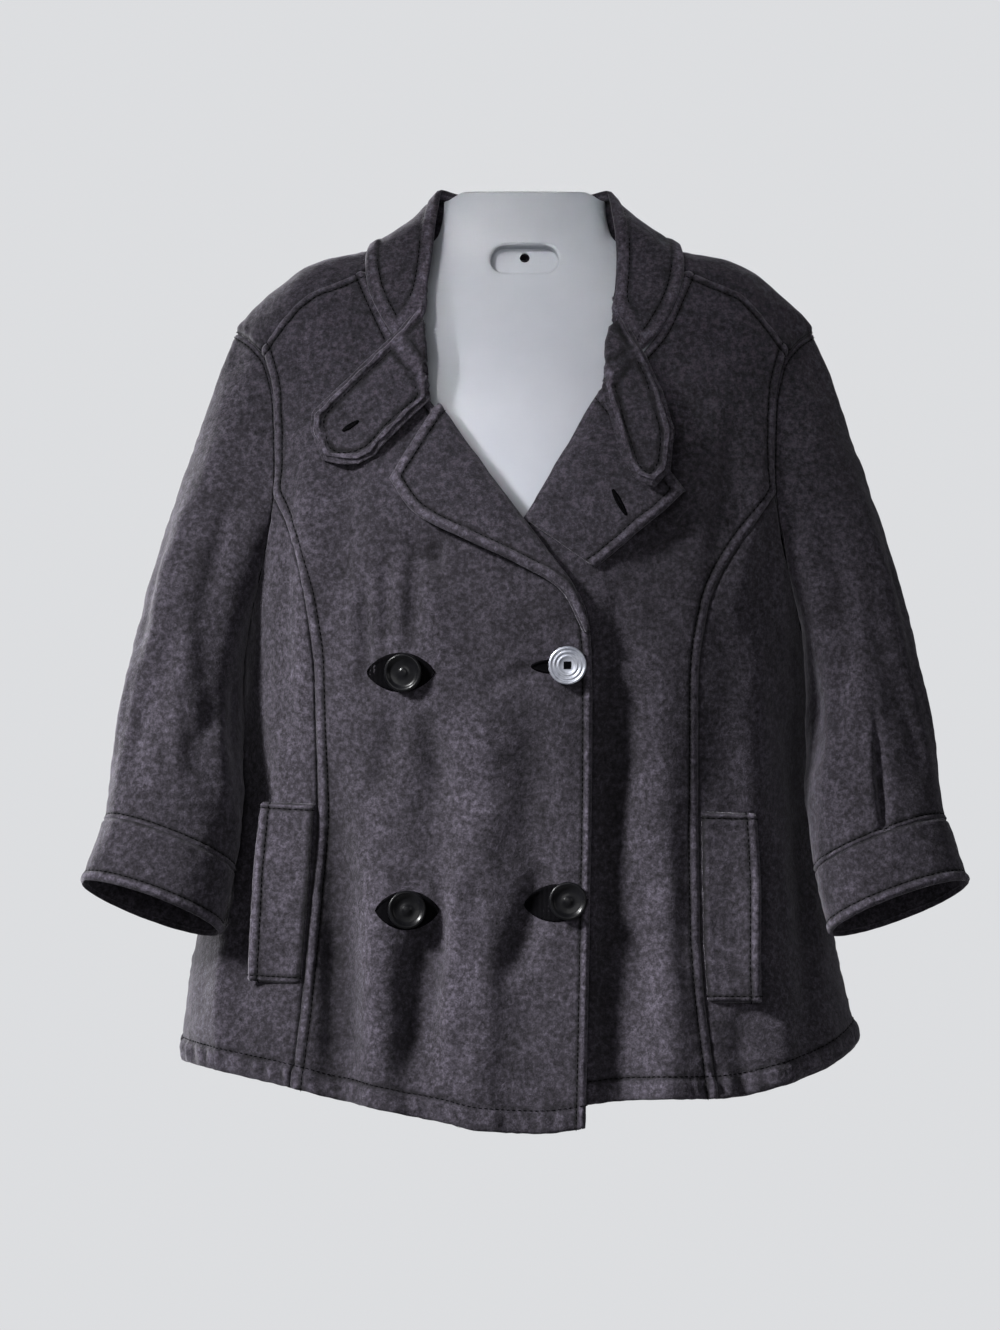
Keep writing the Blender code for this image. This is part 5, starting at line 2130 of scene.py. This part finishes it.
@dataclass(frozen=True)
class Fleece(Finish):
    """Heathered charcoal fleece with a brushed face."""

    slot: str = "charcoal_fleece"
    roughness: float = 0.95
    sheen: float = 0.35
    dark: tuple = (0.004, 0.0035, 0.0045)
    middle: tuple = (0.021, 0.0185, 0.0245)
    light: tuple = (0.062, 0.055, 0.073)

    def build(self, mottle: bpy.types.NodeTree) -> bpy.types.Material:
        """Make the material.

        Args:
            mottle: The group of flecks.

        Returns:
            The material.
        """
        material, bench, shader = self.start()
        shader.inputs["Sheen Roughness"].default_value = 0.45
        shader.inputs["Sheen Tint"].default_value = (0.55, 0.53, 0.6, 1.0)
        shader.inputs["Specular IOR Level"].default_value = 0.2
        marks = bench.add("ShaderNodeGroup", node_tree=mottle)
        flecks = bench.ramp(
            marks.outputs["Flecks"],
            ((0.33, self.dark), (0.49, self.middle), (0.69, self.light)),
        )
        # Painted shading from the mesh attribute: darker grooves, seam dips and crease troughs, lighter worn
        # rims and ridges.
        wear = bench.add("ShaderNodeAttribute", attribute_name="wear").outputs["Fac"]
        tones = bench.math("MULTIPLY_ADD", marks.outputs["Clouds"], 1.2)
        tones.node.inputs[2].default_value = 0.4
        rubbed_and_painted_shading = bench.math("MULTIPLY_ADD", wear, 0.9)
        rubbed_and_painted_shading.node.inputs[2].default_value = 1.0
        shade = bench.math("MULTIPLY", tones, rubbed_and_painted_shading)
        colour = bench.add("ShaderNodeVectorMath", {0: flecks, "Scale": shade}, operation="SCALE")
        bench.tree.links.new(colour.outputs[0], shader.inputs["Base Color"])
        relief = {"Height": marks.outputs["Height"], "Distance": 0.0012, "Strength": 0.7}
        nap = bench.add("ShaderNodeBump", relief)
        bench.tree.links.new(nap.outputs[0], shader.inputs["Normal"])
        return material


@dataclass(frozen=True)
class SewingThread(Finish):
    """Near-black spun thread, also used as the painted shade inside the buttonhole eyes."""

    slot: str = "charcoal_fleece"
    roughness: float = 0.92

    def build(self, mottle: bpy.types.NodeTree) -> bpy.types.Material:
        """Make the material.

        Args:
            mottle: The group of flecks.

        Returns:
            The material.
        """
        material, bench, shader = self.start()
        material.name = "sewing_thread_and_eye_shade"
        marks = bench.add("ShaderNodeGroup", {"Fleck Scale": 2200.0}, node_tree=mottle)
        shader.inputs["Specular IOR Level"].default_value = 0.0
        tones = ((0.3, (0.001, 0.001, 0.0012)), (0.7, (0.004, 0.0038, 0.0045)))
        colour = bench.ramp(marks.outputs["Flecks"], tones)
        bench.tree.links.new(colour, shader.inputs["Base Color"])
        return material


@dataclass(frozen=True)
class ButtonPlastic(Finish):
    """Glossy moulded plastic with fine handling marks."""

    slot: str = "button_black"
    roughness: float = 0.30
    coat: float = 0.05
    low: tuple = (0.0015, 0.0015, 0.002)
    high: tuple = (0.005, 0.005, 0.006)
    shine: float = 0.14

    def build(self, mottle: bpy.types.NodeTree) -> bpy.types.Material:
        """Make the material.

        Args:
            mottle: The group of flecks.

        Returns:
            The material.
        """
        material, bench, shader = self.start()
        shader.inputs["Specular IOR Level"].default_value = self.shine
        marks = bench.add("ShaderNodeGroup", {"Fleck Scale": 900.0, "Cloud Scale": 140.0}, node_tree=mottle)
        colour = bench.ramp(marks.outputs["Clouds"], ((0.3, self.low), (0.7, self.high)))
        bench.tree.links.new(colour, shader.inputs["Base Color"])
        smooth, dull = self.roughness - 0.08, self.roughness + 0.14
        limits = {"Value": marks.outputs["Flecks"], "To Min": smooth, "To Max": dull}
        spread = bench.add("ShaderNodeMapRange", limits)
        bench.tree.links.new(spread.outputs[0], shader.inputs["Roughness"])
        return material


@dataclass(frozen=True)
class ButtonMetal(ButtonPlastic):
    """Bluish silver, dulled in places."""

    slot: str = "button_silver"
    roughness: float = 0.30
    metallic: float = 0.75
    coat: float = 0.0
    low: tuple = (0.36, 0.38, 0.45)
    high: tuple = (0.62, 0.64, 0.72)
    shine: float = 0.5


@dataclass(frozen=True)
class WhitePlastic(Finish):
    """The form's satin white plastic with a faint orange-peel skin."""

    slot: str = "white_plastic"
    roughness: float = 0.42

    def build(self, mottle: bpy.types.NodeTree) -> bpy.types.Material:
        """Make the material.

        Args:
            mottle: The group of flecks.

        Returns:
            The material.
        """
        material, bench, shader = self.start()
        marks = bench.add("ShaderNodeGroup", {"Fleck Scale": 260.0, "Cloud Scale": 14.0}, node_tree=mottle)
        colour = bench.ramp(marks.outputs["Clouds"], ((0.3, (0.36, 0.38, 0.42)), (0.7, (0.41, 0.43, 0.47))))
        bench.tree.links.new(colour, shader.inputs["Base Color"])
        relief = {"Height": marks.outputs["Height"], "Distance": 0.0002, "Strength": 0.25}
        skin = bench.add("ShaderNodeBump", relief)
        bench.tree.links.new(skin.outputs[0], shader.inputs["Normal"])
        return material


@dataclass
class Studio:
    """The floor, the lights and the camera; lengths in metres."""

    distance: float = 6.0
    pixel: float = 0.684 * MM
    aim: tuple = (-0.017, -0.04, -0.289)
    floor_height: float = -1.0
    floor_radius: float = 1.4

    def floor(self) -> bpy.types.Object:
        """Make a pale disc under the jacket.

        Returns:
            The floor.
        """
        turns = [2 * math.pi * k / 96 for k in range(96)]
        rim = np.array([[math.cos(a), math.sin(a), 0.0] for a in turns]) * self.floor_radius
        disc = polygons("floor", (rim + np.array([0, 0, self.floor_height])) / MM, [list(range(96))])
        material, bench, shader = Finish("floor_paint", 0.8).start()
        place = bench.add("ShaderNodeTexCoord").outputs["Object"]
        clouds = bench.add("ShaderNodeTexNoise", {"Vector": place, "Scale": 3.0})
        colour = bench.ramp(clouds.outputs["Fac"], ((0.3, (0.52, 0.52, 0.53)), (0.7, (0.57, 0.57, 0.57))))
        bench.tree.links.new(colour, shader.inputs["Base Color"])
        disc.data.materials.append(material)
        disc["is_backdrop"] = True
        return disc

    def lamp(
        self, name: str, place: tuple, target: tuple, size: float, watts: float, spread: float = 180
    ) -> None:
        """Hang a soft square lamp that faces the jacket.

        Args:
            name: The lamp's name.
            place: Where it hangs.
            target: The place it faces.
            size: Its side.
            watts: Its power.
            spread: How far its light opens, in degrees.
        """
        light = bpy.data.lights.new(name, "AREA")
        light.spread = math.radians(spread)
        light.size = size
        light.energy = watts
        lamp = bpy.data.objects.new(name, light)
        lamp.location = place
        way = Vector(target) - Vector(place)
        lamp.rotation_euler = way.to_track_quat("-Z", "Y").to_euler()
        bpy.context.scene.collection.objects.link(lamp)

    def build(self) -> None:
        """Set up the floor, the lights, the world and the camera."""
        self.floor()
        self.lamp("key", (-1.6, -1.0, 0.8), (-0.01, -0.09, -0.46), 0.45, 2.5, 16)
        self.lamp("fill", (-0.4, -2.8, 0.2), self.aim, 1.2, 18)
        self.lamp("side", (2.2, -1.7, 0.2), self.aim, 1.2, 7)
        self.lamp("neck", (-1.0, -1.9, 1.2), (0.0, -0.02, -0.01), 0.25, 0.17, 9)
        self.lamp("back", (-1.9, 1.7, 0.5), self.aim, 0.7, 17, 60)
        world = bpy.data.worlds.new("studio")
        world.use_nodes = True
        bench = Bench(world.node_tree)
        back = world.node_tree.nodes["Background"]
        back.inputs["Color"].default_value = (0.80, 0.81, 0.83, 1.0)
        path = bench.add("ShaderNodeLightPath")
        limits = {"Value": path.outputs["Is Camera Ray"], "To Min": 0.06, "To Max": 0.9}
        spread = bench.add("ShaderNodeMapRange", limits)
        world.node_tree.links.new(spread.outputs[0], back.inputs["Strength"])
        bpy.context.scene.world = world
        bpy.context.scene.view_settings.view_transform = "Standard"
        lens = bpy.data.cameras.new("camera")
        lens.sensor_fit = "HORIZONTAL"
        lens.sensor_width = 36.0
        lens.lens = 36.0 * self.distance / (1000 * self.pixel)
        camera = bpy.data.objects.new("camera", lens)
        camera.location = Vector(self.aim) - Vector((0.0, self.distance, 0.0))
        camera.rotation_euler = (math.pi / 2, 0.0, 0.0)
        bpy.context.scene.collection.objects.link(camera)
        bpy.context.scene.camera = camera


class Jacket:
    """The whole part: its pieces, its thread and its finishes."""

    stitched = {
        "front_right": ("left", "right", "low", "high"),
        "front_left": ("left", "right", "low", "high"),
        "side_front_right": ("low",),
        "side_front_left": ("low",),
        "back": ("low",),
        "sleeve_right": ("low", "high"),
        "sleeve_left": ("low", "high"),
        "cuff_right": ("high",),
        "cuff_left": ("high",),
        "collar": (),
        "lapel_right": (),
        "lapel_left": (),
        "pocket_welt_right": ("left", "low", "high"),
        "pocket_welt_left": ("right", "low", "high"),
    }

    def __init__(self) -> None:
        """Build the finishes and the body."""
        self.torso = Torso()
        self.mottle = Grain.mottle()
        self.fleece = Fleece().build(self.mottle)
        self.thread = SewingThread().build(self.mottle)

    def settle(self, made: bpy.types.Object, slot: str, *nodes: str) -> None:
        """Join a piece to its body and hide the nodes that it stands for.

        Args:
            made: The piece.
            slot: Not used.
            nodes: The nodes it stands for.
        """
        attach(made, BODY_NAME)
        if nodes:
            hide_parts(*nodes)
        LOG.info("%s: %d faces", made.name, len(made.data.polygons))

    def sew(self) -> None:
        """Make every piece of cloth and the thread on it."""
        stitching = Stitching(StitchSizes())
        makers = (Fronts, Back, Sleeves, Collar, Lapels, PocketWelts)
        pieces = {piece.name: piece for maker in makers for piece in maker(self.torso).pieces()}
        for piece in pieces.values():
            made = piece.build()
            made.data.materials.append(self.fleece)
            self.settle(made, "charcoal_fleece", piece.name)
            stitching.sew(piece, *self.stitched[piece.name])
        self.settle(stitching.build(self.thread), "charcoal_fleece")
        # Buttonhole eyes in the thread finish, whose near-black middle is painted shade.
        for number, slit in enumerate(Buttonholes.slits, 1):
            hole = Buttonholes().build(slit, pieces[slit.piece], number)
            hole.data.materials.append(self.thread)
            self.settle(hole, "charcoal_fleece")

    def button(self) -> None:
        """Make the buttons."""
        maker = Buttons(self.torso)
        finishes = {
            ButtonFinish.BLACK: ButtonPlastic().build(self.mottle),
            ButtonFinish.SILVER: ButtonMetal().build(self.mottle),
        }
        for button in maker.buttons:
            made = maker.build(button)
            made.data.materials.append(finishes[button.finish])
            self.settle(made, button.finish.value, button.name)
            if button.finish is ButtonFinish.SILVER:
                pad = maker.pad(button)
                pad.data.materials.append(self.thread)
                self.settle(pad, "charcoal_fleece")

    def hang(self) -> None:
        """Make the form."""
        made = TorsoForm().build()
        made.name = "form_moulded"
        made.data.materials.clear()
        made.data.materials.append(WhitePlastic().build(self.mottle))
        self.settle(made, "white_plastic", "form")


def main() -> None:
    """Build the part and its studio."""
    logging.basicConfig(level=logging.INFO, format="%(message)s")
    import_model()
    solid_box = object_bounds()
    jacket = Jacket()
    jacket.hang()
    jacket.sew()
    jacket.button()
    Studio().build()
    boxes = {"cad": solid_box, "visual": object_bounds()}
    plain = {name: [[float(v) for v in corner] for corner in box] for name, box in boxes.items()}


if __name__ == "__main__":
    main()
